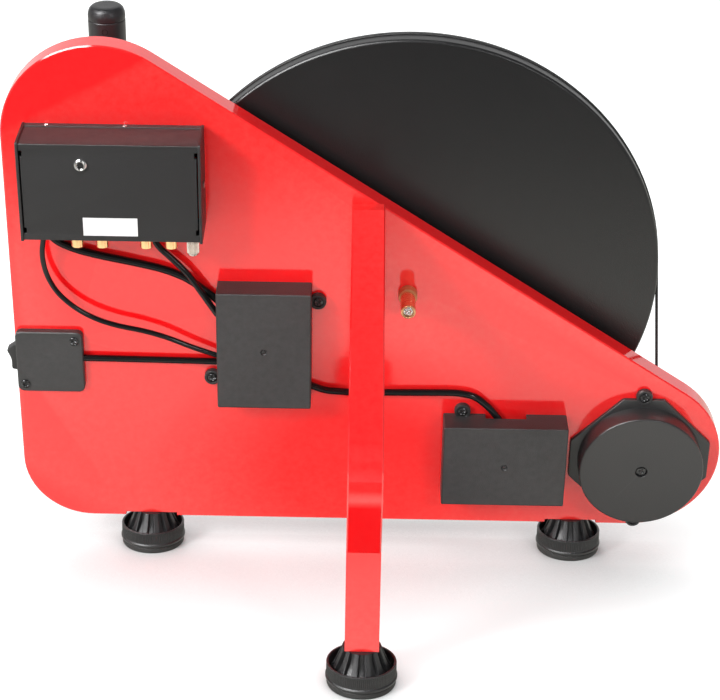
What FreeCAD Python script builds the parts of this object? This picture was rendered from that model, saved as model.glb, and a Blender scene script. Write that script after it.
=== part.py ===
import FreeCAD, Part
import math
import os

import Sketcher
from FreeCAD import Placement, Rotation, Vector

# A vertical record player: a leaning lacquered board carries the platter and the
# tonearm on its front and the electrics on its back, and stands on three feet,
# the third at the end of a bent leg. Millimetres, +Z up, front towards -Y.
#
# Two frames are used. The board frame has its origin where the platter's axis
# meets the board's back face, X along the board, Y out of its back and Z up the
# board. The floor frame has the same X and Y directions but stands level.

SIZES = {
    # The stance
    "lean": 8.4, "axis_height": 181.1, "axis_x": -23.0, "axis_y": -38.9, "seat_height": 23.5,
    # The board
    "board_thick": 15, "board_tall_x": 234, "board_low_x": 194, "board_below": 162,
    "slope_angle": 33.5, "slope_offset": 38.8, "top_round": 56, "low_round": 52,
    "heel_round": 41.5, "board_edge": 0.8, "notch_wide": 32,
    # The leg
    "leg_x": 24, "leg_wide": 19, "leg_thick": 15, "leg_top": 58.5, "leg_land": 8,
    "leg_knee_y": 167.4, "leg_knee_z": 139.1, "leg_bend_y": 142.4, "leg_bend_z": 84.3,
    "leg_knee_round": 26, "leg_gusset": 8, "leg_gusset_out": 52, "leg_edge": 0.8,
    "leg_screw_radius": 2, "leg_screw_head": 4.2, "leg_screw_long": 30,
    # The feet
    "foot_left_x": 156.3, "foot_right_x": 106.2, "foot_radius": 19.6, "foot_wall": 1.5,
    "foot_ring_low": 4.3, "foot_ring_top": 13.8, "foot_flare": 0.5, "foot_neck": 10.8,
    "foot_pad_radius": 19.4, "foot_slot_wide": 1.4,
    "stud_radius": 3, "stud_fit": 0.05, "stud_top": 34, "insert_radius": 4.3, "insert_long": 13,
    # The platter and what turns with it
    "platter_radius": 150, "platter_thick": 14.6, "platter_gap": 8.7, "platter_edge": 1,
    "belt_from_front": 4.9, "belt_radius": 0.9, "belt_fit": 0.25, "hub_radius": 18,
    "hub_thick": 3, "boss_radius": 8, "boss_long": 10, "mat_radius": 147.5, "mat_thick": 2,
    "pin_radius": 3.58, "pin_out": 14, "clamp_radius": 21, "clamp_thick": 12,
    "clamp_fit": 0.08, "clamp_gap": 0.3, "clamp_grip": 17,
    # The main bearing
    "shaft_radius": 2.5, "shaft_end": 14, "bush_fit": 0.05, "sleeve_bore": 3.2,
    "sleeve_radius": 4.4, "sleeve_out": 22.7, "bearing_flange": 17, "bearing_flange_thick": 3,
    "locknut_radius": 5.7, "locknut_thick": 5.5, "bush_long": 8, "plug_thick": 2.9, "plug_socket": 1.3,
    "bearing_screw_ring": 13, "small_screw_radius": 1.5, "small_screw_head": 2.8,
    "small_screw_head_thick": 1.6, "small_screw_long": 10,
    # The motor and its drive
    "motor_x": 144.8, "motor_below": 112, "motor_radius": 22, "motor_front": 12,
    "motor_back": 11, "motor_boss_radius": 5, "motor_boss_long": 2, "motor_shaft": 1.5,
    "motor_shaft_fit": 0.06, "isolator_radius": 26, "isolator_long": 9, "pulley_slow": 14.1,
    "pulley_fast": 19.3, "pulley_rim": 1.6, "pulley_groove": 3, "pulley_front": 2.2,
    "cap_radius": 37.6, "cap_deep": 16.5, "cap_wall": 2, "cap_flange": 42.6,
    "cap_flange_thick": 2.5, "cap_corner": 12.5, "cap_ear": 5, "cap_screw_ring": 44.6,
    "cap_dish": 3.6, "cap_dish_deep": 1.2,
    # The two moulded covers
    "cover_wall": 2, "cover_ear": 4.9, "cover_ear_thick": 2.6, "cover_dimple": 2.2,
    "wiring_x": 84.3, "wiring_below": 32.4, "wiring_wide": 55.8, "wiring_tall": 77.6,
    "wiring_deep": 16.5, "supply_x": 61.4, "supply_below": 110.2, "supply_wide": 75,
    "supply_tall": 55.6, "supply_deep": 17.2, "pcb_thick": 1.6, "pcb_raise": 4,
    "spacer_radius": 2.4, "terminal_deep": 7,
    # The signal box
    "box_x": 169.4, "box_wide": 103, "box_low": 45.9, "box_tall": 59.7, "box_deep": 28,
    "box_wall": 1.4, "box_plate": 1.6, "box_plate_proud": 0.8, "socket_radius": 4.15,
    "socket_bore": 1.7, "socket_long": 9, "socket_out": 16.5, "socket_first": 21.1,
    "socket_pair": 14.3, "socket_gap": 39.4,
    "post_x": 45, "post_radius": 2, "post_long": 14, "post_nut_radius": 3.6,
    "post_nut_long": 11.5, "jack_x": 15.5, "jack_z": 47.4, "jack_radius": 3.8, "jack_bore": 1.8,
    "jack_out": 1.6, "jack_long": 11, "label_x": -15, "label_z": 3.5, "label_wide": 30.8,
    "label_tall": 11.2, "label_thick": 0.2,
    # The power switch
    "switch_x": 213.2, "switch_below": 48.7, "switch_wide": 40.2, "switch_tall": 41,
    "switch_thick": 4.6, "switch_corner": 3.6, "rocker_out": 4.4, "rocker_tall": 19,
    "rocker_thick": 6.4, "rocker_pin": 1.2, "rocker_pin_in": 2.5, "rocker_fit": 0.4,
    "rocker_tip": 11, "slot_in": 9, "slot_tall": 24,
    # The tonearm
    "arm_x": 178, "arm_z": 83.5, "arm_axis_out": 59, "arm_base_radius": 22,
    "arm_base_thick": 6, "arm_column_radius": 11, "arm_column_top": 38,
    "arm_post_radius": 4, "arm_post_fit": 0.06, "yoke_wide": 30, "yoke_wall": 4,
    "yoke_tall": 14, "cross_wide": 21, "cross_tall": 12, "cross_deep": 11,
    "tube_radius": 4, "tube_bore": 3.2, "tube_long": 186, "stub_radius": 3.5,
    "stub_long": 48, "weight_radius": 10.9, "weight_long": 32, "weight_fit": 0.08,
    "weight_from": 39.5, "shell_wide": 15, "shell_thick": 3, "shell_long": 44,
    "shell_angle": 23, "cartridge_wide": 16, "cartridge_deep": 12.5, "cartridge_long": 27,
    "rest_below": 96, "rest_radius": 5, "clip_wall": 1.6, "clip_wide": 8,
    "hinge_radius": 1.8,
    "hinge_pin": 0.9, "cue_x": 26, "cue_z": 4, "cue_bar_long": 44, "cue_travel": 4, "cue_rod": 2.5,
    "cue_axle": 1,
    "knob_below": 16.5, "knob_radius": 4, "knob_long": 5, "knob_pin": 1.5,
}


class Size:
    """A length worked out from the sheet: its number, and the expression that gives it."""

    def __init__(self, number, text):
        self.number = float(number)
        self.text = text

    def __add__(self, other):
        other = sized(other)
        return Size(self.number + other.number, f"({self.text} + {other.text})")

    def __sub__(self, other):
        other = sized(other)
        return Size(self.number - other.number, f"({self.text} - {other.text})")

    def __mul__(self, other):
        other = sized(other)
        return Size(self.number * other.number, f"({self.text} * {other.text})")

    def __truediv__(self, other):
        other = sized(other)
        return Size(self.number / other.number, f"({self.text} / {other.text})")

    def __rsub__(self, other):
        return sized(other) - self

    def __neg__(self):
        return Size(-self.number, f"(-{self.text})")

    def __float__(self):
        return self.number

    __radd__ = __add__
    __rmul__ = __mul__


class Sheet:
    """The driving dimensions, read by name."""

    def __init__(self, document, values):
        self.cells = document.addObject("Spreadsheet::Sheet", "sizes")
        self.values = values
        for row, (name, value) in enumerate(values.items(), start=1):
            self.cells.set(f"A{row}", name)
            self.cells.set(f"B{row}", str(value))
            self.cells.setAlias(f"B{row}", name)

    def __getattr__(self, name):
        return Size(self.values[name], f"sizes.{name}")


def sized(value):
    return value if isinstance(value, Size) else Size(value, repr(float(value)))


doc = FreeCAD.newDocument("record_player")
d = Sheet(doc, SIZES)
doc.recompute()

LEAN = math.radians(SIZES["lean"])
FLOOR = Placement(Vector(d.axis_x, d.axis_y, 0), Rotation())
BOARD = Placement(
    Vector(d.axis_x, d.axis_y, d.axis_height), Rotation(Vector(1, 0, 0), -SIZES["lean"]))
FORWARD = Rotation(Vector(1, 0, 0), 90)
BACKWARD = Rotation(Vector(1, 0, 0), -90)
SIDEWAYS = Rotation(Vector(0, 1, 0), 90)
LEFTWARD = Rotation(Vector(0, 1, 0), -90)
DOWNWARD = Rotation(Vector(1, 0, 0), 180)
UPRIGHT = Rotation()

subparts = []


# --- Building blocks ---------------------------------------------------------------

def vec(x, y, z):
    return Vector(float(x), float(y), float(z))


def at(frame, x, y, z, turn=UPRIGHT):
    return frame.multiply(Placement(vec(x, y, z), turn))


def bind(item, **sizes):
    for name, size in sizes.items():
        item.setExpression(name, sized(size).text)


def block(frame, corner, size, turn=UPRIGHT):
    item = doc.addObject("Part::Box", "block")
    bind(item, Length=size[0], Width=size[1], Height=size[2])
    item.Placement = at(frame, *corner, turn)
    return item


def rod(frame, foot, turn, radius, length, start=0):
    """A cylinder that begins `start` along its own axis from the point `foot`."""
    item = doc.addObject("Part::Cylinder", "rod")
    bind(item, Radius=radius, Height=length)
    item.Placement = at(frame, *foot, turn).multiply(Placement(vec(0, 0, start), UPRIGHT))
    return item


def cone(frame, foot, turn, low_radius, top_radius, length, start=0):
    item = doc.addObject("Part::Cone", "cone")
    bind(item, Radius1=low_radius, Radius2=top_radius, Height=length)
    item.Placement = at(frame, *foot, turn).multiply(Placement(vec(0, 0, start), UPRIGHT))
    return item


def ball(frame, centre, radius):
    item = doc.addObject("Part::Sphere", "ball")
    bind(item, Radius=radius)
    item.Placement = at(frame, *centre)
    return item


def fused(*items):
    item = doc.addObject("Part::MultiFuse", "fused")
    item.Shapes = list(items)
    return item


def cut(base, *tools):
    item = doc.addObject("Part::Cut", "cut")
    item.Base = base
    item.Tool = tools[0] if len(tools) == 1 else fused(*tools)
    return item


def group(*items):
    item = doc.addObject("Part::Compound", "group")
    item.Links = list(items)
    return item


def part(item, name):
    item.Label = name
    subparts.append(item)
    return item


def new_body(name, placement):
    item = doc.addObject("PartDesign::Body", name)
    item.Label = name
    item.Placement = placement
    return item


def blank_sketch(body, role, lift=0):
    """An empty sketch on one of the body's own planes, raised along its normal."""
    sketch = body.newObject("Sketcher::SketchObject", "sketch")
    plane = next(item for item in body.Origin.OriginFeatures if item.Role == role)
    sketch.AttachmentSupport = (plane, [""])
    sketch.MapMode = "FlatFace"
    sketch.AttachmentOffset = Placement(vec(0, 0, lift), UPRIGHT)
    return sketch


def fix_point(sketch, geometry, end, x, y):
    """Ties one point of the sketch to its distances from the origin."""
    for kind, axis, size in (("DistanceX", -2, sized(x)), ("DistanceY", -1, sized(y))):
        if size.number == 0:
            sketch.addConstraint(Sketcher.Constraint("PointOnObject", geometry, end, axis))
        else:
            index = sketch.addConstraint(
                Sketcher.Constraint(kind, -1, 1, geometry, end, size.number))
            sketch.setExpression(f"Constraints[{index}]", size.text)


def polygon(body, role, corners, lift=0):
    """A closed outline of straight sides, every corner tied to the sheet."""
    sketch = blank_sketch(body, role, lift)
    points = [vec(x, y, 0) for x, y in corners]
    count = len(points)
    for index in range(count):
        sketch.addGeometry(Part.LineSegment(points[index], points[(index + 1) % count]), False)
    for index in range(count):
        following = (index + 1) % count
        sketch.addConstraint(Sketcher.Constraint("Coincident", index, 2, following, 1))
    for index, (x, y) in enumerate(corners):
        fix_point(sketch, index, 1, x, y)
    return sketch


def circles(body, role, rounds, lift=0):
    """Circles given as (x, y, radius)."""
    sketch = blank_sketch(body, role, lift)
    for index, (x, y, radius) in enumerate(rounds):
        circle = Part.Circle(vec(x, y, 0), Vector(0, 0, 1), float(radius))
        sketch.addGeometry(circle, False)
        fix_point(sketch, index, 3, x, y)
        number = sketch.addConstraint(Sketcher.Constraint("Radius", index, float(radius)))
        sketch.setExpression(f"Constraints[{number}]", sized(radius).text)
    return sketch


def rectangle(body, role, low, high, lift=0):
    corners = [(low[0], low[1]), (high[0], low[1]), (high[0], high[1]), (low[0], high[1])]
    return polygon(body, role, corners, lift)


def pad(body, sketch, length, backward=False, both_ways=False):
    item = body.newObject("PartDesign::Pad", "pad")
    item.Profile = sketch
    bind(item, Length=length)
    item.Reversed = backward
    if both_ways:
        item.SideType = "Symmetric"
    return item


def pocket(body, sketch, length, backward=False, both_ways=False):
    item = body.newObject("PartDesign::Pocket", "pocket")
    item.Profile = sketch
    bind(item, Length=length)
    item.Reversed = backward
    if both_ways:
        item.SideType = "Symmetric"
    return item


def edges_where(item, test):
    """The names of the edges of a feature that pass a test."""
    doc.recompute()
    return [f"Edge{index}" for index, edge in enumerate(item.Shape.Edges, 1) if test(edge)]


def chamfer(body, base, names, size):
    item = body.newObject("PartDesign::Chamfer", "chamfer")
    item.Base = (base, names)
    bind(item, Size=size)
    return item


def fillet(body, base, names, size):
    item = body.newObject("PartDesign::Fillet", "fillet")
    item.Base = (base, names)
    bind(item, Radius=size)
    return item


def turned(name, placement, role, outline):
    """A turned piece: (radius, along) corners about the body's Y axis, or its Z axis
    where the role is XZ_Plane."""
    body = new_body(name, placement)
    sketch = polygon(body, role, outline)
    item = body.newObject("PartDesign::Revolution", "turn")
    item.Profile = sketch
    item.ReferenceAxis = (sketch, ["V_Axis"])
    item.Angle = 360
    return body


def screw(frame, foot, turn, head_radius, head_thick, shank_radius, shank_long):
    """A screw whose head stands on `foot` and points along `turn`."""
    head = rod(frame, foot, turn, head_radius, head_thick)
    shank = rod(frame, foot, turn, shank_radius, shank_long, -shank_long)
    return fused(head, shank)


def small_screw(frame, foot, turn):
    return screw(frame, foot, turn, d.small_screw_head, d.small_screw_head_thick,
                 d.small_screw_radius, d.small_screw_long)


def small_hole(frame, foot, turn, extra=0):
    return rod(frame, foot, turn, d.small_screw_radius + extra, d.small_screw_long,
               -d.small_screw_long)


board_holes = []
cover_screws = []
face_screws = []
terminal_blocks = []
circuit_boards = []


# --- The board and the leg -----------------------------------------------------------

def make_board():
    """The lacquered board: a slanting top edge between two rounded ends."""
    body = new_body("board_blank", BOARD)
    sketch = blank_sketch(body, "XZ_Plane")
    slope = math.radians(SIZES["slope_angle"])
    normal = Vector(-math.sin(slope), math.cos(slope), 0)
    tall, low, below = SIZES["board_tall_x"], -SIZES["board_low_x"], -SIZES["board_below"]
    top_r, low_r, heel_r = SIZES["top_round"], SIZES["low_round"], SIZES["heel_round"]
    offset = SIZES["slope_offset"]
    top_x = tall - top_r
    top_mid = Vector(top_x, (offset - top_r - normal.x * top_x) / normal.y, 0)
    low_y = below + low_r
    low_mid = Vector((offset - low_r - normal.y * low_y) / normal.x, low_y, 0)
    heel_mid = Vector(tall - heel_r, below + heel_r, 0)
    up, right, down = Vector(0, 1, 0), Vector(1, 0, 0), Vector(0, -1, 0)
    rounds = [(top_mid, top_r, right, normal), (low_mid, low_r, normal, down),
              (heel_mid, heel_r, down, right)]
    arcs = []
    for middle, radius, first, last in rounds:
        start, end = middle + first * radius, middle + last * radius
        half = first + last
        half.normalize()
        arcs.append(Part.Arc(start, middle + half * radius, end))
    slope_line = Part.LineSegment(top_mid + normal * top_r, low_mid + normal * low_r)
    bottom_line = Part.LineSegment(low_mid + down * low_r, heel_mid + down * heel_r)
    tall_line = Part.LineSegment(heel_mid + right * heel_r, top_mid + right * top_r)
    for shape in (arcs[0], slope_line, arcs[1], bottom_line, arcs[2], tall_line):
        sketch.addGeometry(shape, False)
    ends = [(index, *tips(sketch, index)) for index in range(6)]
    for index in range(6):
        join_ends(sketch, ends[index], ends[(index + 1) % 6])
    for name, kind, items in (
            ("board_below", "Distance", (-1, 1, 3)), ("board_tall_x", "Distance", (-1, 1, 5)),
            ("slope_offset", "Distance", (-1, 1, 1)), ("top_round", "Radius", (0,)),
            ("low_round", "Radius", (2,)), ("heel_round", "Radius", (4,))):
        index = sketch.addConstraint(Sketcher.Constraint(kind, *items, SIZES[name]))
        sketch.setExpression(f"Constraints[{index}]", f"sizes.{name}")
    sketch.addConstraint(Sketcher.Constraint("Horizontal", 3))
    sketch.addConstraint(Sketcher.Constraint("Vertical", 5))
    base = pad(body, sketch, d.board_thick)
    whole_edge = edges_where(base, lambda edge: edge.BoundBox.YLength < 1e-6)
    chamfer(body, base, whole_edge, d.board_edge)
    for x in (d.foot_left_x, -d.foot_right_x):
        rise = d.seat_height.number - (d.axis_height.number
                                       - d.board_below.number * math.cos(LEAN))
        tall_side = rise / math.cos(LEAN)
        shallow = tall_side - d.board_thick.number * math.tan(LEAN)
        wedge = polygon(body, "YZ_Plane", [
            (1, -d.board_below - 5), (1, -d.board_below + tall_side + math.tan(LEAN)),
            (-d.board_thick - 1, -d.board_below + shallow - math.tan(LEAN)),
            (-d.board_thick - 1, -d.board_below - 5)], x)
        pocket(body, wedge, d.notch_wide, both_ways=True)
    centre_holes = circles(body, "XZ_Plane", [
        (0, 0, d.sleeve_radius), (-d.motor_x, -d.motor_below, d.isolator_radius)])
    pocket(body, centre_holes, d.board_thick * 3, both_ways=True)
    return part(cut(body, *board_holes), "plinth")


def tips(sketch, index):
    geometry = sketch.Geometry[index]
    return geometry.StartPoint, geometry.EndPoint


def join_ends(sketch, first, second):
    """Makes two neighbours of an outline meet smoothly."""
    for one in (1, 2):
        for other in (1, 2):
            if (first[one] - second[other]).Length < 1e-3:
                sketch.addConstraint(
                    Sketcher.Constraint("Tangent", first[0], one, second[0], other))
                return


def board_to_floor(out, up):
    """A point of the board frame, as (Y, Z) of the floor frame."""
    return (out * math.cos(LEAN) + up * math.sin(LEAN),
            up * math.cos(LEAN) - out * math.sin(LEAN) + SIZES["axis_height"])


def crossing(point, along, other, other_along):
    """Where two lines of the side view meet."""
    determinant = along[0] * other_along[1] - along[1] * other_along[0]
    gap = (other[0] - point[0], other[1] - point[1])
    reach = (gap[0] * other_along[1] - gap[1] * other_along[0]) / determinant
    return point[0] + along[0] * reach, point[1] + along[1] * reach


def make_leg():
    """A bent strut: out from the board, round a knee, back in, and straight down."""
    thick = SIZES["leg_thick"]
    top = board_to_floor(0, SIZES["leg_top"])
    land = board_to_floor(SIZES["leg_land"], SIZES["leg_top"])
    knee = (SIZES["leg_knee_y"], SIZES["leg_knee_z"])
    bend = (SIZES["leg_bend_y"], SIZES["leg_bend_z"])
    foot = (SIZES["leg_bend_y"], SIZES["seat_height"])

    def unit(start, end):
        span = math.dist(start, end)
        return (end[0] - start[0]) / span, (end[1] - start[1]) / span

    def inward(point, along):
        return point[0] + along[1] * thick, point[1] - along[0] * thick

    arm, shin, shank = unit(land, knee), unit(knee, bend), unit(bend, foot)
    inner_foot = inward(foot, shank)
    inner_bend = crossing(inward(bend, shank), shank, inward(bend, shin), shin)
    inner_knee = crossing(inward(bend, shin), shin, inward(knee, arm), arm)
    gusset_low = board_to_floor(0, -SIZES["leg_gusset"])
    under = inward(land, arm)
    gusset_out = (under[0] + arm[0] * SIZES["leg_gusset_out"],
                  under[1] + arm[1] * SIZES["leg_gusset_out"])
    body = new_body("leg_blank", at(FLOOR, d.leg_x, 0, 0))
    outline = [top, land, (d.leg_knee_y, d.leg_knee_z), (d.leg_bend_y, d.leg_bend_z),
               (d.leg_bend_y, d.seat_height), inner_foot, inner_bend, inner_knee,
               gusset_out, gusset_low]
    base = pad(body, polygon(body, "YZ_Plane", outline), d.leg_wide, both_ways=True)

    def near(edge, point):
        middle = edge.CenterOfMass
        across = edge.BoundBox.XLength
        return across > thick and math.dist((middle.y, middle.z), point) < 0.5

    outer = fillet(body, base, edges_where(base, lambda edge: near(edge, knee)),
                   d.leg_knee_round)
    inner = fillet(body, outer, edges_where(outer, lambda edge: near(edge, inner_knee)),
                   d.leg_knee_round - d.leg_thick)
    soft = fillet(body, inner, edges_where(inner, lambda edge: near(edge, gusset_out)), 20)

    def on_side(edge):
        box = edge.BoundBox
        touches = abs(box.YMin - top[0]) < 12 and abs(box.YMax - gusset_low[0]) < 12
        return box.XLength < 1e-6 and not touches and box.ZMin > SIZES["seat_height"] + 0.01
    chamfer(body, soft, edges_where(soft, on_side), d.leg_edge)
    screws, tools = [], [insert_hole(d.leg_x, leg_foot_y())]
    for up in (d.leg_top - 12, d.leg_top - 52):
        foot_point = (d.leg_x, -d.board_thick, up)
        screws.append(screw(BOARD, foot_point, FORWARD, d.leg_screw_head, 2,
                            d.leg_screw_radius, d.leg_screw_long))
        tools.append(rod(BOARD, foot_point, FORWARD, d.leg_screw_radius, d.leg_screw_long,
                         -d.leg_screw_long))
        board_holes.append(rod(BOARD, foot_point, FORWARD, d.leg_screw_radius,
                               d.leg_screw_long, -d.leg_screw_long))
    part(cut(body, *tools), "rear_leg")
    part(group(*screws), "leg_screws")


def leg_foot_y():
    return SIZES["leg_bend_y"] - SIZES["leg_thick"] / 2


def board_foot_y():
    """The middle of the board's thickness, down at the seats of its two feet."""
    return board_to_floor(-SIZES["board_thick"] / 2, -SIZES["board_below"])[0]


def insert_hole(x, y):
    return rod(FLOOR, (x, y, d.seat_height), UPRIGHT, d.insert_radius, d.insert_long)


def make_feet():
    """Three levelling feet: a ribbed cup on a stud, and a rubber pad under it."""
    places = {"left": (d.foot_left_x, board_foot_y()), "right": (-d.foot_right_x, board_foot_y()),
              "rear": (d.leg_x, leg_foot_y())}
    inserts = []
    for side, (x, y) in places.items():
        place = at(FLOOR, x, y, 0)
        inner = d.foot_radius - d.foot_wall
        floor_top = d.foot_ring_low + 2
        blank = turned(f"cup_{side}", place, "XZ_Plane", [
            (d.stud_radius, d.foot_ring_low), (d.foot_radius + d.foot_flare, d.foot_ring_low),
            (d.foot_radius + d.foot_flare, d.foot_ring_low + 1.4),
            (d.foot_radius, d.foot_ring_low + 2), (d.foot_radius, d.foot_ring_top - 0.4),
            (d.foot_radius - 0.4, d.foot_ring_top), (inner, d.foot_ring_top),
            (inner, floor_top + 1.2), (d.foot_neck, d.seat_height - 0.1),
            (d.stud_radius, d.seat_height - 0.1)])
        slots = []
        for step in range(12):
            turn = Rotation(Vector(0, 0, 1), 30 * step + 15)
            slots.append(block(FLOOR.multiply(Placement(vec(x, y, 0), turn)),
                               (d.foot_neck - 1.5, -d.foot_slot_wide / 2, d.foot_ring_top - 5),
                               (5, d.foot_slot_wide, 16)))
        stud = rod(FLOOR, (x, y, d.foot_ring_low), UPRIGHT, d.stud_radius,
                   d.stud_top - d.foot_ring_low)
        part(fused(cut(blank, *slots), stud), f"foot_{side}_cup")
        part(turned(f"foot_{side}_pad", place, "XZ_Plane", [
            (0, 0), (d.foot_pad_radius - 0.8, 0), (d.foot_pad_radius, 0.8),
            (d.foot_pad_radius, d.foot_ring_low), (0, d.foot_ring_low)]),
            f"foot_{side}_pad")
        inserts.append(cut(
            rod(FLOOR, (x, y, d.seat_height), UPRIGHT, d.insert_radius, d.insert_long),
            rod(FLOOR, (x, y, d.seat_height), UPRIGHT, d.stud_radius + d.stud_fit,
                d.insert_long)))
        if side != "rear":
            board_holes.append(insert_hole(x, y))
    part(group(*inserts), "foot_inserts")


# --- The platter, its bearing and its drive ------------------------------------------

def make_platter():
    back = -(d.board_thick + d.platter_gap)
    front = back - d.platter_thick
    belt = front + d.belt_from_front
    edge = d.platter_edge
    rim = d.platter_radius
    groove = rim - d.belt_radius - d.belt_fit
    part(turned("platter", BOARD, "XY_Plane", [
        (d.boss_radius, back), (rim - edge, back), (rim, back - edge),
        (rim, belt + 1.6), (groove, belt + 0.7), (groove, belt - 0.7), (rim, belt - 1.6),
        (rim, front + edge), (rim - edge, front), (d.pin_radius, front),
        (d.pin_radius, back - d.boss_long), (d.boss_radius, back - d.boss_long)]), "platter")
    part(turned("platter_mat", BOARD, "XY_Plane", [
        (d.pin_radius, front), (d.mat_radius, front), (d.mat_radius, front - d.mat_thick),
        (d.pin_radius, front - d.mat_thick)]), "platter_mat")
    mat_face = front - d.mat_thick
    part(turned("platter_spindle", BOARD, "XY_Plane", [
        (0, d.shaft_end), (d.shaft_radius - 0.5, d.shaft_end),
        (d.shaft_radius, d.shaft_end - 0.5), (d.shaft_radius, back + d.hub_thick),
        (d.hub_radius, back + d.hub_thick), (d.hub_radius, back), (d.boss_radius, back),
        (d.boss_radius, back - d.boss_long), (d.pin_radius, back - d.boss_long),
        (d.pin_radius, mat_face - d.pin_out + 1), (d.pin_radius - 1, mat_face - d.pin_out),
        (0, mat_face - d.pin_out)]), "platter_spindle")
    clamp_back = mat_face - d.clamp_gap
    bore = d.pin_radius + d.clamp_fit
    part(turned("record_clamp", BOARD, "XY_Plane", [
        (bore, clamp_back), (d.clamp_radius - 0.6, clamp_back),
        (d.clamp_radius, clamp_back - 0.6), (d.clamp_radius, clamp_back - 4),
        (d.clamp_grip, clamp_back - 5.5), (d.clamp_grip, clamp_back - d.clamp_thick + 1),
        (d.clamp_grip - 1, clamp_back - d.clamp_thick), (bore, clamp_back - d.clamp_thick)]),
        "record_clamp")


def make_bearing():
    """A brass sleeve through the board, closed at its back end by a ball and a plug."""
    face = -d.board_thick
    flange = face - d.bearing_flange_thick
    sleeve = turned("sleeve", BOARD, "XY_Plane", [
        (d.sleeve_bore, flange), (d.bearing_flange, flange), (d.bearing_flange, face),
        (d.sleeve_radius, face), (d.sleeve_radius, d.sleeve_out - 0.5),
        (d.sleeve_radius - 0.5, d.sleeve_out), (d.sleeve_bore, d.sleeve_out)])
    tools = []
    for step in range(3):
        angle = math.radians(90 + 120 * step)
        spot = (d.bearing_screw_ring * math.cos(angle), flange,
                d.bearing_screw_ring * math.sin(angle))
        face_screws.append(small_screw(BOARD, spot, FORWARD))
        tools.append(small_hole(BOARD, spot, FORWARD))
        board_holes.append(small_hole(BOARD, spot, FORWARD))
    part(cut(sleeve, *tools), "bearing_sleeve")
    part(turned("bearing_locknut", BOARD, "XY_Plane", [
        (d.sleeve_radius, 0), (d.locknut_radius - 0.4, 0), (d.locknut_radius, 0.4),
        (d.locknut_radius, d.locknut_thick - 0.6), (d.locknut_radius - 0.6, d.locknut_thick),
        (d.sleeve_radius, d.locknut_thick)]), "bearing_locknut")
    inner = d.shaft_radius + d.bush_fit
    bushes = []
    for start in (flange + 1, d.shaft_end - d.bush_long - 1):
        bushes.append(cut(rod(BOARD, (0, start, 0), BACKWARD, d.sleeve_bore, d.bush_long),
                          rod(BOARD, (0, start, 0), BACKWARD, inner, d.bush_long)))
    part(group(*bushes), "bearing_bushes")
    thrust_ball = ball(BOARD, (0, d.shaft_end + d.shaft_radius + 0.1, 0), d.shaft_radius)
    plug_foot = (0, d.sleeve_out - 0.6 - d.plug_thick, 0)
    plug = cut(rod(BOARD, plug_foot, BACKWARD, d.sleeve_bore, d.plug_thick),
               rod(BOARD, plug_foot, BACKWARD, d.plug_socket, 2, d.plug_thick - 2))
    part(group(thrust_ball, plug), "bearing_end")


def make_motor():
    x, z = -d.motor_x, -d.motor_below
    place = at(BOARD, x, 0, z)
    belt = -(d.board_thick + d.platter_gap + d.platter_thick) + d.belt_from_front
    shaft_front = belt - d.pulley_groove / 2 - d.pulley_rim - d.pulley_front
    bore = d.motor_shaft + d.motor_shaft_fit
    part(turned("motor", place, "XY_Plane", [
        (bore, -d.motor_front - d.motor_boss_long), (d.motor_boss_radius,
         -d.motor_front - d.motor_boss_long), (d.motor_boss_radius, -d.motor_front),
        (d.motor_radius, -d.motor_front), (d.motor_radius, d.motor_back), (0, d.motor_back),
        (0, d.motor_back - 4), (bore, d.motor_back - 4)]), "motor")
    part(turned("motor_isolator", place, "XY_Plane", [
        (d.motor_radius, -3), (d.isolator_radius, -3), (d.isolator_radius,
         -3 - d.isolator_long), (d.motor_radius, -3 - d.isolator_long)]), "motor_isolator")
    part(rod(place, (0, d.motor_back - 4.2, 0), FORWARD, d.motor_shaft,
             d.motor_back - 4.2 - shaft_front), "motor_shaft")
    half = d.pulley_groove / 2
    slow, fast, rim = d.pulley_slow, d.pulley_fast, d.pulley_rim
    slow_back = belt + half
    fast_back = slow_back + rim + d.pulley_groove
    part(turned("motor_pulley", place, "XY_Plane", [
        (d.motor_shaft, fast_back + rim), (fast + 1.4, fast_back + rim),
        (fast + 1.4, fast_back + 0.4), (fast, fast_back - 0.4), (fast, slow_back + rim + 0.4),
        (fast + 1.4, slow_back + rim - 0.4), (fast + 1.4, slow_back + 0.4),
        (slow, slow_back - 0.4), (slow, belt - half + 0.4), (slow + 1.4, belt - half - 0.4),
        (slow + 1.4, belt - half - rim), (d.motor_shaft, belt - half - rim)]), "motor_pulley")


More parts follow.
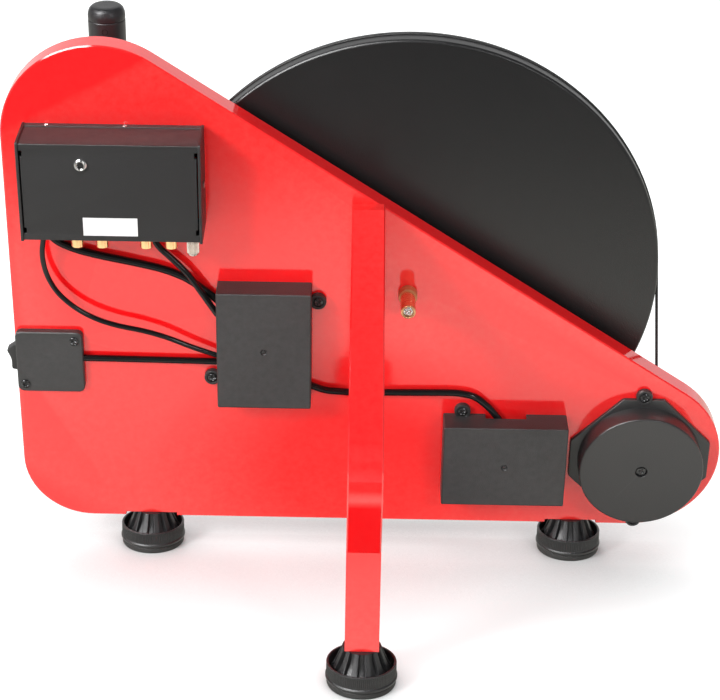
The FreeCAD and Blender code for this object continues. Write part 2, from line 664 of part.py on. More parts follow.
def make_motor_cover():
    """A round cap on an eight-sided flange, with one dished screw in the middle."""
    x, z = -d.motor_x, -d.motor_below
    place = at(BOARD, x, 0, z)
    body = new_body("cap_blank", place)
    side, corner = d.cap_flange, d.cap_corner
    eight = [(side, -corner), (side, corner), (corner, side), (-corner, side),
             (-side, corner), (-side, -corner), (-corner, -side), (corner, -side)]
    pad(body, polygon(body, "XZ_Plane", eight), d.cap_flange_thick, backward=True)
    ears = circles(body, "XZ_Plane", [(0, d.cap_screw_ring, d.cap_ear),
                                      (0, -d.cap_screw_ring, d.cap_ear)])
    pad(body, ears, d.cap_flange_thick, backward=True)
    pad(body, circles(body, "XZ_Plane", [(0, 0, d.cap_radius)]), d.cap_deep, backward=True)
    pocket(body, circles(body, "XZ_Plane", [(0, 0, d.cap_radius - d.cap_wall)]),
           d.cap_deep - d.cap_wall)
    doc.recompute()
    rim = edges_where(body.Tip, lambda edge: len(edge.Vertexes) == 1
                      and abs(edge.Curve.Radius - SIZES["cap_radius"]) < 1e-4
                      and edge.Curve.Center.y > SIZES["cap_deep"] - 0.01)
    chamfer(body, body.Tip, rim, 1)
    foot = (0, d.cap_deep, 0)
    dish = rod(place, foot, BACKWARD, d.cap_dish, d.cap_dish_deep, -d.cap_dish_deep)
    tools = [dish]
    head_foot = (0, d.cap_deep - d.cap_dish_deep, 0)
    hub_top = d.cap_deep - d.cap_dish_deep
    tools.append(rod(place, head_foot, BACKWARD, d.small_screw_radius, 2, -2))
    for up in (d.cap_screw_ring, -d.cap_screw_ring):
        spot = (0, d.cap_flange_thick, up)
        cover_screws.append(small_screw(place, spot, BACKWARD))
        tools.append(small_hole(place, spot, BACKWARD))
        board_holes.append(small_hole(place, spot, BACKWARD))
    part(cut(body, *tools), "motor_cover")
    middle = fused(rod(place, head_foot, BACKWARD, d.small_screw_head, 0.9),
                   rod(place, head_foot, BACKWARD, d.small_screw_radius,
                       hub_top - d.motor_back, -(hub_top - d.motor_back)))
    cover_screws.append(middle)


def make_belt():
    """A round belt: an arc on the platter, an arc on the pulley, two straight runs."""
    plane = -(d.board_thick + d.platter_gap + d.platter_thick) + d.belt_from_front
    big = SIZES["platter_radius"]
    small = SIZES["pulley_slow"] + SIZES["belt_radius"] + SIZES["belt_fit"]
    pulley = Vector(-SIZES["motor_x"], 0, -SIZES["motor_below"])
    towards = math.atan2(pulley.z, pulley.x)
    half = math.acos((big - small) / pulley.Length)

    def spot(middle, radius, angle):
        return middle + Vector(radius * math.cos(angle), 0, radius * math.sin(angle))

    hub = Vector(0, 0, 0)
    first, second = towards + half, towards - half
    path = Part.Wire([
        Part.Arc(spot(hub, big, first), spot(hub, big, towards + math.pi),
                 spot(hub, big, second)).toShape(),
        Part.LineSegment(spot(hub, big, second), spot(pulley, small, second)).toShape(),
        Part.Arc(spot(pulley, small, second), spot(pulley, small, towards),
                 spot(pulley, small, first)).toShape(),
        Part.LineSegment(spot(pulley, small, first), spot(hub, big, first)).toShape()])
    start = spot(hub, big, first)
    along = Vector(-math.sin(first), 0, math.cos(first))
    section = Part.Wire(Part.Circle(start, along, SIZES["belt_radius"]).toShape())
    item = doc.addObject("Part::Feature", "drive_belt")
    item.Shape = path.makePipeShell([section], True, True)
    item.Placement = at(BOARD, 0, plane, 0)
    part(item, "drive_belt")


# --- The moulded covers and what they hide ----------------------------------------------

def make_cover(name, x, z, wide, tall, deep, ears, notch=None):
    """An open-backed moulded box with screw ears on two of its sides."""
    place = at(BOARD, x, 0, z)
    body = new_body(f"{name}_blank", place)
    outer = rectangle(body, "XZ_Plane", (-wide / 2, -tall / 2), (wide / 2, tall / 2))
    base = pad(body, outer, deep, backward=True)
    rear = edges_where(base, lambda edge: edge.BoundBox.YMin > deep.number - 1e-4
                       or edge.BoundBox.YLength > deep.number - 1e-4)
    fillet(body, base, rear, 1)
    pad(body, circles(body, "XZ_Plane", [(ear_x, ear_z, d.cover_ear) for ear_x, ear_z in ears]),
        d.cover_ear_thick, backward=True)
    wall = d.cover_wall
    hollow = rectangle(body, "XZ_Plane", (wall - wide / 2, wall - tall / 2),
                       (wide / 2 - wall, tall / 2 - wall))
    pocket(body, hollow, deep - wall)
    tools = [cone(place, (0, deep, 0), BACKWARD, d.cover_dimple - 0.6, d.cover_dimple, 0.8,
                  -0.8)]
    for ear_x, ear_z in ears:
        spot = (ear_x, d.cover_ear_thick, ear_z)
        cover_screws.append(small_screw(place, spot, BACKWARD))
        tools.append(small_hole(place, spot, BACKWARD))
        board_holes.append(small_hole(place, spot, BACKWARD))
    if notch:
        tools.append(block(place, notch[0], notch[1]))
    part(cut(body, *tools), f"{name}_cover")


def terminal_block(x, foot_y, z, wide):
    terminal_blocks.append(
        block(BOARD, (x - wide / 2, foot_y, z - 5), (wide, d.terminal_deep, 10)))


def make_supply_board():
    """The motor's supply board, standing on four spacers."""
    x, z = -d.supply_x, -d.supply_below - 6
    wide, tall = d.supply_wide - 14, d.supply_tall - 18
    place = at(BOARD, x, 0, z)
    pieces = [block(place, (-wide / 2, d.pcb_raise, -tall / 2), (wide, d.pcb_thick, tall))]
    for side in (-1, 1):
        for end in (-1, 1):
            foot = (side * (wide / 2 - 4), 0, end * (tall / 2 - 4))
            pieces.append(rod(place, foot, BACKWARD, d.spacer_radius, d.pcb_raise))
    circuit_boards.append(fused(*pieces))
    terminal_block(x, d.pcb_raise + d.pcb_thick, z, wide / 2)


def make_covers():
    ear_out = d.wiring_wide / 2 + d.cover_ear * 0.75
    make_cover("wiring", d.wiring_x, -d.wiring_below, d.wiring_wide, d.wiring_tall,
               d.wiring_deep, [(-ear_out, d.wiring_tall / 2 - 11.5),
                               (ear_out, 13 - d.wiring_tall / 2)])
    terminal_block(d.wiring_x, 0, -d.wiring_below - 18, d.wiring_wide - 16)
    ear_up = d.supply_tall / 2 + d.cover_ear * 0.6
    make_cover("supply", -d.supply_x, -d.supply_below, d.supply_wide, d.supply_tall,
               d.supply_deep, [(d.supply_wide / 2 - 11.5, ear_up),
                               (11.5 - d.supply_wide / 2, -ear_up)],
               ((-13, 0, d.supply_tall / 2 - 3), (25, 5.4, 4)))
    make_supply_board()
    part(group(*terminal_blocks), "terminal_blocks")


# --- The signal box ------------------------------------------------------------------------

def make_signal_box():
    """A folded metal box between two end plates, its sockets pointing down."""
    place = at(BOARD, d.box_x, 0, d.box_low)
    wide, tall, deep, wall = d.box_wide, d.box_tall, d.box_deep, d.box_wall
    plate = d.box_plate
    inner_x = wide / 2 - plate
    shell = block(place, (-inner_x, 0, 0), (inner_x * 2, deep, tall))
    tools = [block(place, (-inner_x, wall, wall),
                   (inner_x * 2, deep - wall * 2, tall - wall * 2))]
    tools += make_sockets(place)
    screws = []
    for x in (wide / 2 - 14, sized(-7)):
        spot = (x, wall + 1, tall)
        screws.append(screw(place, spot, UPRIGHT, 1.3, 0.8, 1, 5))
        tools.append(rod(place, spot, UPRIGHT, 1, 5, -5))
    part(cut(shell, *tools), "box_shell")
    plates = []
    rail = d.box_plate_proud
    for side, turn in ((1, SIDEWAYS), (-1, LEFTWARD)):
        low_x = inner_x if side > 0 else -wide / 2
        end = block(place, (low_x, 0, -rail), (plate, deep + rail, tall + rail * 2))
        spot = (side * wide / 2, deep / 2, tall / 2)
        screws.append(screw(place, spot, turn, 2, 1.2, 1.4, plate))
        plates.append(cut(end, rod(place, spot, turn, 1.4, plate, -plate)))
    part(group(*plates), "box_end_plates")
    label_foot = (d.label_x, deep, d.label_z)
    part(block(place, label_foot, (d.label_wide, d.label_thick, d.label_tall)), "blank_label")
    part(group(*screws), "box_screws")
    circuit_boards.append(block(place, (7 - wide / 2, wall + 5, tall / 2 - 22),
                                (wide - 14, d.pcb_thick, 44)))


def make_sockets(place):
    """Four phono sockets, a ground post with its nut, and a jack; returns their holes."""
    holes, sockets = [], []
    mid, inside = d.socket_out, 8
    neck = d.socket_radius - 1
    first = d.socket_first
    for x in (first, first - d.socket_pair, first - d.socket_gap,
              first - d.socket_gap - d.socket_pair):
        foot = (x, mid, 0)
        barrel = fused(rod(place, foot, DOWNWARD, d.socket_radius, d.socket_long),
                       rod(place, foot, DOWNWARD, neck, inside + 1, -inside))
        bore = rod(place, foot, DOWNWARD, d.socket_bore, d.socket_long + inside - 3, 3 - inside)
        sockets.append(cut(barrel, bore))
        holes.append(rod(place, foot, DOWNWARD, neck, 4, -3))
    part(group(*sockets), "phono_sockets")
    post_foot = (-d.post_x, mid, 0)
    holes.append(rod(place, post_foot, DOWNWARD, d.post_radius, 4, -3))
    part(rod(place, post_foot, DOWNWARD, d.post_radius, d.post_long + 5, -5), "ground_post")
    nut_from = 1.5
    nut = rod(place, post_foot, DOWNWARD, d.post_nut_radius, d.post_nut_long, nut_from)
    part(cut(nut, rod(place, post_foot, DOWNWARD, d.post_radius + 0.05, d.post_nut_long,
                      nut_from)), "ground_nut")
    spot = (d.jack_x, d.box_deep, d.jack_z)
    barrel_radius = d.jack_radius - 0.8
    holes.append(rod(place, spot, BACKWARD, barrel_radius, d.box_wall, -d.box_wall))
    barrel = rod(place, spot, BACKWARD, barrel_radius, d.jack_long + d.jack_out, -d.jack_long)
    ring = rod(place, spot, BACKWARD, d.jack_radius, d.jack_out)
    bore = rod(place, spot, BACKWARD, d.jack_bore, d.jack_long + d.jack_out - 1,
               1 - d.jack_long)
    part(cut(fused(barrel, ring), bore), "jack_socket")
    return holes


# --- The power switch -------------------------------------------------------------------------

def make_switch():
    """A flat housing on the board's back edge; its rocker tips in a slot of that edge."""
    place = at(BOARD, d.switch_x, 0, -d.switch_below)
    body = new_body("switch_blank", place)
    wide, tall = d.switch_wide / 2, d.switch_tall / 2
    outer = rectangle(body, "XZ_Plane", (-wide, -tall), (wide, tall))
    base = pad(body, outer, d.switch_thick, backward=True)
    corners = edges_where(base, lambda edge: edge.BoundBox.YLength > 1)
    round_off = fillet(body, base, corners, d.switch_corner)
    rear = edges_where(round_off, lambda edge: edge.BoundBox.YMin > SIZES["switch_thick"] - 0.01)
    chamfer(body, round_off, rear, 0.6)
    tools = []
    for x, z in ((5 - wide, tall - 5.6), (wide - 4.6, 5.4 - tall)):
        spot = (x, d.switch_thick, z)
        cover_screws.append(small_screw(place, spot, BACKWARD))
        tools.append(small_hole(place, spot, BACKWARD))
        board_holes.append(small_hole(place, spot, BACKWARD))
    edge_x = d.board_tall_x - d.switch_x
    fit, deep = d.rocker_fit, d.rocker_thick
    slot_deep = deep + fit * 2
    board_holes.append(block(place, (edge_x - d.slot_in, -slot_deep, -d.slot_tall / 2),
                             (d.slot_in + 2, slot_deep, d.slot_tall)))
    pin_spot = (edge_x - d.rocker_pin_in, 0, 0)
    out, half = d.rocker_out + d.rocker_pin_in, d.rocker_tall / 2
    tipped = at(place, *pin_spot, Rotation(Vector(0, 1, 0), SIZES["rocker_tip"]))
    rocker = new_body("rocker_blank", tipped)
    lobes = polygon(rocker, "XZ_Plane", [
        (-2.5, -half), (0.5, -half), (out, -half * 0.7), (out, -half * 0.55),
        (out - 1.2, 0), (out, half * 0.55), (out, half * 0.7), (0.5, half),
        (-2.5, half)], fit)
    pad(rocker, lobes, deep)
    bore = rod(tipped, (0, -fit, 0), FORWARD, d.rocker_pin + 0.06, deep)
    part(cut(rocker, bore), "power_rocker")
    pin = rod(place, pin_spot, FORWARD, d.rocker_pin, slot_deep)
    part(fused(cut(body, *tools), pin), "switch_housing")


# --- The leads ------------------------------------------------------------------------------------

LEADS = {
    "signal_lead_thin": (1.55, [
        (210, 9.5, 45.9), (213.2, 9.2, 27), (211.4, 8.6, 13.5), (206, 8.3, 1.6),
        (196.6, 8.2, -8.2), (184.6, 8.2, -15.9), (171.2, 8, -20.6), (156.6, 7.6, -23.6),
        (142.4, 7, -28.3), (128.3, 6, -35.2), (112.25, 5, -41.6)]),
    "signal_lead_thick": (2.3, [
        (214, 3.4, 45.9), (206.6, 3.2, 33.4), (194.4, 3.1, 27.4), (179.4, 3, 23.4),
        (161, 2.9, 19.6), (143.5, 2.8, 15.4), (130.2, 2.9, 9.8), (120.6, 2.9, 2.6),
        (112.25, 3, -5)]),
    "arm_lead": (1.9, [
        (151.5, 4, 45.9), (147, 4.2, 31.8), (137.6, 5, 23.2), (128, 6.6, 13.4),
        (120.2, 7.8, 1.4), (112.25, 8.4, -11)]),
    "switch_lead": (2, [(193.1, 2.3, -46.4), (112.25, 2.3, -47.3)]),
    "motor_lead": (2.1, [
        (56.35, 2.4, -62.9), (48.6, 2.7, -66), (33.8, 2.5, -67.2), (-31.6, 2.5, -66.2),
        (-42.6, 2.7, -68.4), (-51.6, 2.8, -76.4), (-57.6, 2.6, -84.6)]),
}


def lead_path(points):
    """Straight runs joined by arcs as wide as the two runs beside each turn allow."""
    edges, radii = [], []
    start = points[0]
    for before, corner, after in zip(points, points[1:], points[2:]):
        arrive, leave = corner - before, after - corner
        run = min(arrive.Length, leave.Length)
        turn = arrive.getAngle(leave)
        reach = 0.45 * run
        radii.append(reach / math.tan(turn / 2))
        arrive.normalize()
        leave.normalize()
        first, last = corner - arrive * reach, corner + leave * reach
        inward = leave - arrive
        inward.normalize()
        sagitta = reach * math.tan(turn / 4)
        middle = (first + last) * 0.5
        bow = corner - middle
        bow.normalize()
        edges.append(Part.LineSegment(start, first).toShape())
        edges.append(Part.Arc(first, middle + bow * sagitta, last).toShape())
        start = last
    edges.append(Part.LineSegment(start, points[-1]).toShape())
    return Part.Wire(edges), radii


def housings():
    """The outsides of the four housings that hold the ends of the leads."""
    wiring_foot = (d.wiring_x - d.wiring_wide / 2, 0, -d.wiring_below - d.wiring_tall / 2)
    switch_foot = (d.switch_x - d.switch_wide / 2, 0, -d.switch_below - d.switch_tall / 2)
    return [
        block(BOARD, (d.box_x - d.box_wide / 2, 0, d.box_low),
              (d.box_wide, d.box_deep, d.box_tall)),
        block(BOARD, wiring_foot, (d.wiring_wide, d.wiring_deep, d.wiring_tall)),
        block(BOARD, switch_foot, (d.switch_wide, d.switch_thick, d.switch_tall))]


def make_leads():
    """Five leads on the back of the board, each held by a housing at both ends."""
    hidden = 2
    for name, (radius, route) in LEADS.items():
        points = [Vector(*point) for point in route]
        for end, beside in ((0, 1), (-1, -2)):
            outward = points[end] - points[beside]
            outward.normalize()
            points[end] = points[end] + outward * hidden
        path, radii = lead_path(points)
        along = points[1] - points[0]
        section = Part.Wire(Part.Circle(points[0], along, radius).toShape())
        item = doc.addObject("Part::Feature", "lead")
        item.Shape = path.makePipeShell([section], True, True)
        item.Placement = BOARD
        part(cut(item, *housings()), name)
        expected = math.pi * radius ** 2 * path.Length
        tightest = min(radii) if radii else 0
        print(f"{name}: length {path.Length:.1f}, tightest arc {tightest:.1f}, "
              f"volume {item.Shape.Volume / expected:.4f} of section times length")


# --- The tonearm ------------------------------------------------------------------------------------

def make_arm_base():
    x, z = d.arm_x, d.arm_z
    place = at(BOARD, x, 0, z)
    face = -d.board_thick
    front = face - d.arm_base_thick
    body = turned("arm_base_blank", place, "XY_Plane", [
        (0, face), (d.arm_base_radius, face), (d.arm_base_radius, front + 1),
        (d.arm_base_radius - 1, front), (d.arm_column_radius, front),
        (d.arm_column_radius, 0.8 - d.arm_column_top),
        (d.arm_column_radius - 0.8, -d.arm_column_top), (0, -d.arm_column_top)])
    bore = rod(place, (0, -d.arm_column_top, 0), FORWARD, d.arm_post_radius + d.arm_post_fit,
               20, -20)
    knob_foot = (0, front, -d.knob_below)
    tools = [bore, rod(place, knob_foot, FORWARD, d.knob_pin + d.arm_post_fit, 4, -4)]
    for step in range(3):
        angle = math.radians(90 + 120 * step)
        spot = (17 * math.cos(angle), front, 17 * math.sin(angle))
        face_screws.append(small_screw(place, spot, FORWARD))
        tools.append(small_hole(place, spot, FORWARD))
        board_holes.append(small_hole(place, spot, FORWARD))
    part(cut(body, *tools), "arm_base")
    part(fused(rod(place, knob_foot, FORWARD, d.knob_radius, d.knob_long, 0.3),
               rod(place, knob_foot, FORWARD, d.knob_pin, 4, -3.6)), "antiskate_knob")


def make_arm():
    place = at(BOARD, d.arm_x, -d.arm_axis_out, d.arm_z)
    half, wall = d.yoke_wide / 2, d.yoke_wall
    yoke_face = d.arm_axis_out - d.arm_column_top - 4
    post = rod(place, (0, yoke_face, 0), BACKWARD, d.arm_post_radius,
               d.arm_column_top + 4 - 18.4)
    yoke = cut(
        block(place, (-half, -7, -d.yoke_tall / 2), (half * 2, yoke_face + 7, d.yoke_tall)),
        block(place, (wall - half, -7, -d.yoke_tall / 2),
              (half * 2 - wall * 2, yoke_face + 7 - wall, d.yoke_tall)),
        rod(place, (half, 0, 0), SIDEWAYS, 1.5, half * 2, -half * 2))
    screws, sockets = [], []
    for turn, side in ((SIDEWAYS, 1), (LEFTWARD, -1)):
        foot = (side * half, 0, 0)
        tip = half - d.cross_wide / 2 + 2
        screws.append(fused(rod(place, foot, turn, 1.5, wall + 1.2, -wall),
                            rod(place, foot, turn, 1.1, tip - wall, -tip)))
        sockets.append(rod(place, foot, turn, 1.15, tip + 0.3, -tip - 0.1))
    part(fused(post, yoke), "arm_yoke")
    part(group(*screws), "arm_pivot_screws")
    cross = block(place, (-d.cross_wide / 2, -d.cross_deep / 2, -d.cross_tall / 2),
                  (d.cross_wide, d.cross_deep, d.cross_tall))
    top = d.cross_tall / 2
    stub = rod(place, (0, 0, top), UPRIGHT, d.stub_radius, d.stub_long)
    tube_room = rod(place, (0, 0, top), UPRIGHT, d.tube_radius, d.cross_tall, -d.cross_tall)
    part(fused(cut(cross, tube_room, *sockets), stub), "arm_cross")
    part(cut(rod(place, (0, 0, top), UPRIGHT, d.tube_radius, d.tube_long, -d.tube_long),
             rod(place, (0, 0, top), UPRIGHT, d.tube_bore, d.tube_long, -d.tube_long)),
         "arm_tube")
    bore = d.stub_radius + d.weight_fit
    top = d.weight_from + d.weight_long
    part(turned("counterweight", place, "XZ_Plane", [
        (bore, d.weight_from), (d.weight_radius - 0.8, d.weight_from),
        (d.weight_radius, d.weight_from + 0.8), (d.weight_radius, top - 4.5),
        (d.weight_radius - 1, top - 1.6), (d.weight_radius - 2.8, top - 0.2),
        (d.weight_radius - 5, top), (0, top), (0, top - 3), (bore, top - 3)]),
        "counterweight")
    make_headshell(place)


def make_headshell(place):
    """The headshell hangs at its offset angle, and holds the cartridge to the record."""
    end = d.cross_tall / 2 - d.tube_long
    turn = Rotation(Vector(0, 1, 0), SIZES["shell_angle"])
    shell = place.multiply(Placement(vec(0, 0, end), turn))
    half = d.shell_wide / 2
    plate = block(shell, (-half, -d.shell_thick / 2, -d.shell_long),
                  (d.shell_wide, d.shell_thick, d.shell_long - 4))
    slots = [block(shell, (x - 1.3, -d.shell_thick, -d.shell_long + 4), (2.6, 6, 22))
             for x in (-5, 5)]
    collar = rod(place, (0, 0, end), UPRIGHT, d.tube_radius + 1, 7, -5)
    tube_room = rod(place, (0, 0, end), UPRIGHT, d.tube_radius, 4)
    lift = [block(shell, (half - 1, -0.8, -d.shell_long + 8), (10, 1.6, 4)),
            block(shell, (half + 8, -4.4, -d.shell_long + 8), (1.4, 5.2, 4))]
    part(cut(fused(plate, collar, *lift), tube_room, *slots), "headshell")
    below = d.shell_thick / 2
    low = -d.shell_long + 2
    part(block(shell, (-d.cartridge_wide / 2, below, low),
               (d.cartridge_wide, d.cartridge_deep - 3, d.cartridge_long)), "cartridge")
    under = below + d.cartridge_deep - 3
    tip = under + 3
    part(fused(block(shell, (-4.5, under, low), (9, 3, 14)),
               block(shell, (-0.4, tip - 0.6, low - 3.6), (0.8, 0.6, 7)),
               cone(shell, (0, tip - 0.2, low - 3), BACKWARD, 0.4, 0.1, 2.4)), "stylus")


def make_arm_rest():
    """A post with an open hook for the resting tube, and a clip that swings over it."""
    place = at(BOARD, d.arm_x, -d.arm_axis_out, d.arm_z - d.rest_below)
    room = d.tube_radius + 0.4
    half, lug = d.clip_wide / 2, 2
    barrel, pin = d.hinge_radius, d.hinge_pin
    hinge_x = room + barrel
    hinge_y = -d.tube_radius - 0.6 - barrel
    wall_top = hinge_y + barrel + 0.3
    side_low = -half - 0.3 - lug
    pieces = [
        rod(place, (0, room + 4, 0), BACKWARD, d.rest_radius,
            d.arm_axis_out - d.board_thick - room - 4),
        block(place, (-7, room, -half), (room + 9.2, 4, half * 2)),
        block(place, (room + 0.2, wall_top, side_low),
              (barrel * 2, room + 4 - wall_top, -side_low * 2)),
        rod(place, (hinge_x, hinge_y, side_low), UPRIGHT, pin, -side_low * 2)]
    for low in (side_low, half + 0.3):
        pieces.append(block(place, (room + 0.2, hinge_y - barrel, low),
                            (barrel * 2, wall_top - hinge_y + barrel, lug)))
    part(fused(*pieces), "arm_rest")
    blade = fused(rod(place, (hinge_x, hinge_y, -half), UPRIGHT, barrel, half * 2),
                  block(place, (hinge_x - d.clip_wall / 2, hinge_y - 13, -half),
                        (d.clip_wall, 12, half * 2)))
    part(cut(blade, rod(place, (hinge_x, hinge_y, -half), UPRIGHT, pin + 0.06, half * 2)),
         "arm_clip")


def make_cueing():
    """A lift bar under the tube and the lever that raises it."""
    place = at(BOARD, d.arm_x, -d.board_thick, d.arm_z + d.cue_z)
    x, rod_z, axle_z = d.cue_x, sized(-25), sized(-20.5)
    tall = 24
    part(cut(block(place, (x - 6, -tall, -30), (12, tall, 13)),
             rod(place, (x, -tall, rod_z), BACKWARD, d.cue_rod + 0.05, 20),
             rod(place, (x - 6, -12, axle_z), SIDEWAYS, d.cue_axle + 0.05, 12)),
         "cue_bracket")
    bar_y = d.board_thick + d.tube_radius + d.cue_travel + 0.8 - d.arm_axis_out
    part(fused(rod(place, (x, bar_y, rod_z), BACKWARD, d.cue_rod, -bar_y - 5),
               block(place, (x - d.cue_bar_long, bar_y, rod_z - d.cue_rod),
                     (d.cue_bar_long + d.cue_rod, 3, d.cue_rod * 2))), "cue_lift")
    lever_foot = (x + 6.3, -12, axle_z)
    part(fused(rod(place, lever_foot, SIDEWAYS, 3.4, 3),
               rod(place, lever_foot, SIDEWAYS, d.cue_axle, 12, -12),
               block(place, (x + 6.3, -40, axle_z - 1.5), (3, 28, 3))),
         "cue_lever")


make_bearing()
make_platter()
make_motor()
make_motor_cover()
make_belt()
make_covers()
make_signal_box()
make_switch()
make_leads()
make_arm_base()
make_arm()
make_arm_rest()
make_cueing()
make_leg()
make_feet()
part(group(*cover_screws), "cover_screws")
part(group(*face_screws), "face_screws")
part(group(*circuit_boards), "circuit_boards")
make_board()

doc.recompute()
failed = [item.Name for item in doc.Objects
          if any(word in item.State for word in ("Invalid", "Error"))]
broken = [item.Label for item in subparts if item.Shape.isNull() or not item.Shape.isValid()]
if failed or broken:
    raise RuntimeError(f"failed objects {failed}, broken shapes {broken}")
os.makedirs("parts", exist_ok=True)
for item in subparts:
    item.Shape.exportStep(f"parts/{item.Label}.step")
print(len(subparts), "sub-parts written")
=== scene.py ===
# %% [markdown]
# # An upright record player
# The object is a lacquered board that leans back on two levelling feet and a bent leg.
# Its front carries the platter and the tonearm, its back carries the electrics, and the
# back is what the camera sees. The solids come from the part's own CAD. This file gives
# every one of them a finish, and replaces those whose real surface has more to it than a
# plain solid: lacquered edges, knurls, turned metal, screw recesses, mouldings.

# %% The solids
import math

import bmesh
import bpy
import numpy as np
from mathutils import Matrix, Vector
from mathutils.geometry import tessellate_polygon


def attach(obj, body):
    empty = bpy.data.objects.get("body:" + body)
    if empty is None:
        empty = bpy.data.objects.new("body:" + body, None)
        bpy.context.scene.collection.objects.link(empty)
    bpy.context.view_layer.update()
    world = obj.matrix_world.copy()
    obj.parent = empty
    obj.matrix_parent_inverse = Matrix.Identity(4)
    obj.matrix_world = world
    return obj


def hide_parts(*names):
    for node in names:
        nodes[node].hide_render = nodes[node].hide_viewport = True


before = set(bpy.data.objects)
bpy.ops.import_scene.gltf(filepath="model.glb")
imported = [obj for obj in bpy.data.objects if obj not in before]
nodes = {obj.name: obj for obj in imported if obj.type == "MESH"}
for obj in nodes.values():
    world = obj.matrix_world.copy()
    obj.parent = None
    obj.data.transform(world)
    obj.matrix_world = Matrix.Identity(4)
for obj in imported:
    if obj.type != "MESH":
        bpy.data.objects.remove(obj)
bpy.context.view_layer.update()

# %% [markdown]
# ## Two frames
# Nearly everything sits square to the board, and the board leans. It is easiest to think
# in the board's own frame: X along it, Y out of its back, Z up its face, starting where
# the platter's axis meets the back face. One function turns those millimetres into the
# metres of the scene. The feet stand in the level frame of the floor.

# %% Frames
MM = 0.001
LEAN = math.radians(8.4)
AXIS = np.array([-23.0, -38.9, 181.1])
BOARD_TURN = np.array([[1, 0, 0],
                       [0, math.cos(LEAN), math.sin(LEAN)],
                       [0, -math.sin(LEAN), math.cos(LEAN)]])


def on_board(points):
    """Board millimetres to scene metres: turn by the lean, then shift to the axis."""
    return (np.asarray(points, float) @ BOARD_TURN.T + AXIS) * MM


def on_floor(points):
    """Level millimetres to scene metres: a shift to the axis, with Z kept."""
    return (np.asarray(points, float) + AXIS * np.array([1, 1, 0])) * MM


# %% [markdown]
# ## The camera
# It stands behind the player, a metre away and a little above it, and looks down by
# twenty degrees. The lens is long, so verticals stay nearly parallel. The shift only
# places the object in the frame.

# %% Camera
camera_data = bpy.data.cameras.new("camera")
camera_data.sensor_width = 36
camera_data.lens = 100.87
camera_data.shift_x = 0.0356
camera_data.shift_y = -0.0860
camera = bpy.data.objects.new("camera", camera_data)
bpy.context.scene.collection.objects.link(camera)
camera_axes = Matrix((
    (-0.99980534, 0.01716101, -0.00973584),
    (-0.01507260, -0.34589906, 0.93815066),
    (0.01273199, 0.93811478, 0.34609039)))
camera.matrix_world = Matrix.Translation((0.00869, 1.07552, 0.59493)) @ camera_axes.to_4x4()
bpy.context.scene.camera = camera
print("lens", camera_data.lens, "mm")

# %% [markdown]
# ## Wiring shader nodes
# A shader is a small graph. These helpers make its nodes, and every input may be another
# node's output or a plain value, so the graphs further down read like formulas.

# %% Node helpers
WHITE = (1.0, 1.0, 1.0, 1.0)


def put(tree, socket, value):
    """Links `value` where it is a node's output, and sets it where it is plain."""
    if hasattr(value, "is_output"):
        tree.links.new(value, socket)
    else:
        socket.default_value = value


def add_node(tree, kind, **values):
    """A shader node; `values` are its inputs by name, with _ for a space."""
    node = tree.nodes.new("ShaderNode" + kind)
    for label, value in values.items():
        put(tree, node.inputs[label.replace("_", " ")], value)
    return node


def math_node(tree, operation, *values, clamp=False):
    """The result of a Math node on one, two or three values."""
    node = tree.nodes.new("ShaderNodeMath")
    node.operation = operation
    node.use_clamp = clamp
    for socket, value in zip(node.inputs, values):
        put(tree, socket, value)
    return node.outputs[0]


def vector_value(tree, operation, first, second):
    """The number from a Vector Math node, such as a distance or a dot product."""
    node = tree.nodes.new("ShaderNodeVectorMath")
    node.operation = operation
    put(tree, node.inputs[0], first)
    put(tree, node.inputs[1], second)
    return node.outputs["Value"]


def map_range(tree, value, source, target, smooth=False):
    """Carries the range `source` onto the range `target`, and holds at both ends."""
    node = add_node(tree, "MapRange", Value=value, From_Min=source[0], From_Max=source[1],
                    To_Min=target[0], To_Max=target[1])
    node.interpolation_type = "SMOOTHSTEP" if smooth else "LINEAR"
    return node.outputs["Result"]


def mixed_colour(tree, factor, first, second):
    """The first colour where the factor is 0, the second where it is 1."""
    node = tree.nodes.new("ShaderNodeMix")
    node.data_type = "RGBA"
    for label, value in (("Factor", factor), ("A", first), ("B", second)):
        put(tree, node.inputs[label], value)
    return node.outputs["Result"]


def mixed_shader(tree, factor, first, second):
    """The first shader where the factor is 0, the second where it is 1."""
    node = tree.nodes.new("ShaderNodeMixShader")
    for socket, value in zip(node.inputs, (factor, first, second)):
        put(tree, socket, value)
    return node.outputs[0]


# %% [markdown]
# ## Light
# Lacquer shows what stands round it. To the camera the world is plain white, and as a lamp
# it is a soft grey, so colours render about as they are written. In reflections it is a
# studio: grey near the horizon, dimmer overhead, with a pale wall in front of the player
# and one small bright window high behind it. The side lamp draws the shadows, the top
# and front lamps fill them, and a small one beside the camera gives the dark metal its
# glints. Two of them are hidden from reflections, where they would burn white patches.

# %% World and lamps
LAMP_STRENGTH, WINDOW_STRENGTH = 0.48, 16.0
world = bpy.data.worlds.new("studio")
bpy.context.scene.world = world
world.use_nodes = True
sky = world.node_tree
sky.nodes.clear()


def backdrop(strength):
    """A white Background shader of that strength."""
    return add_node(sky, "Background", Color=WHITE, Strength=strength).outputs[0]


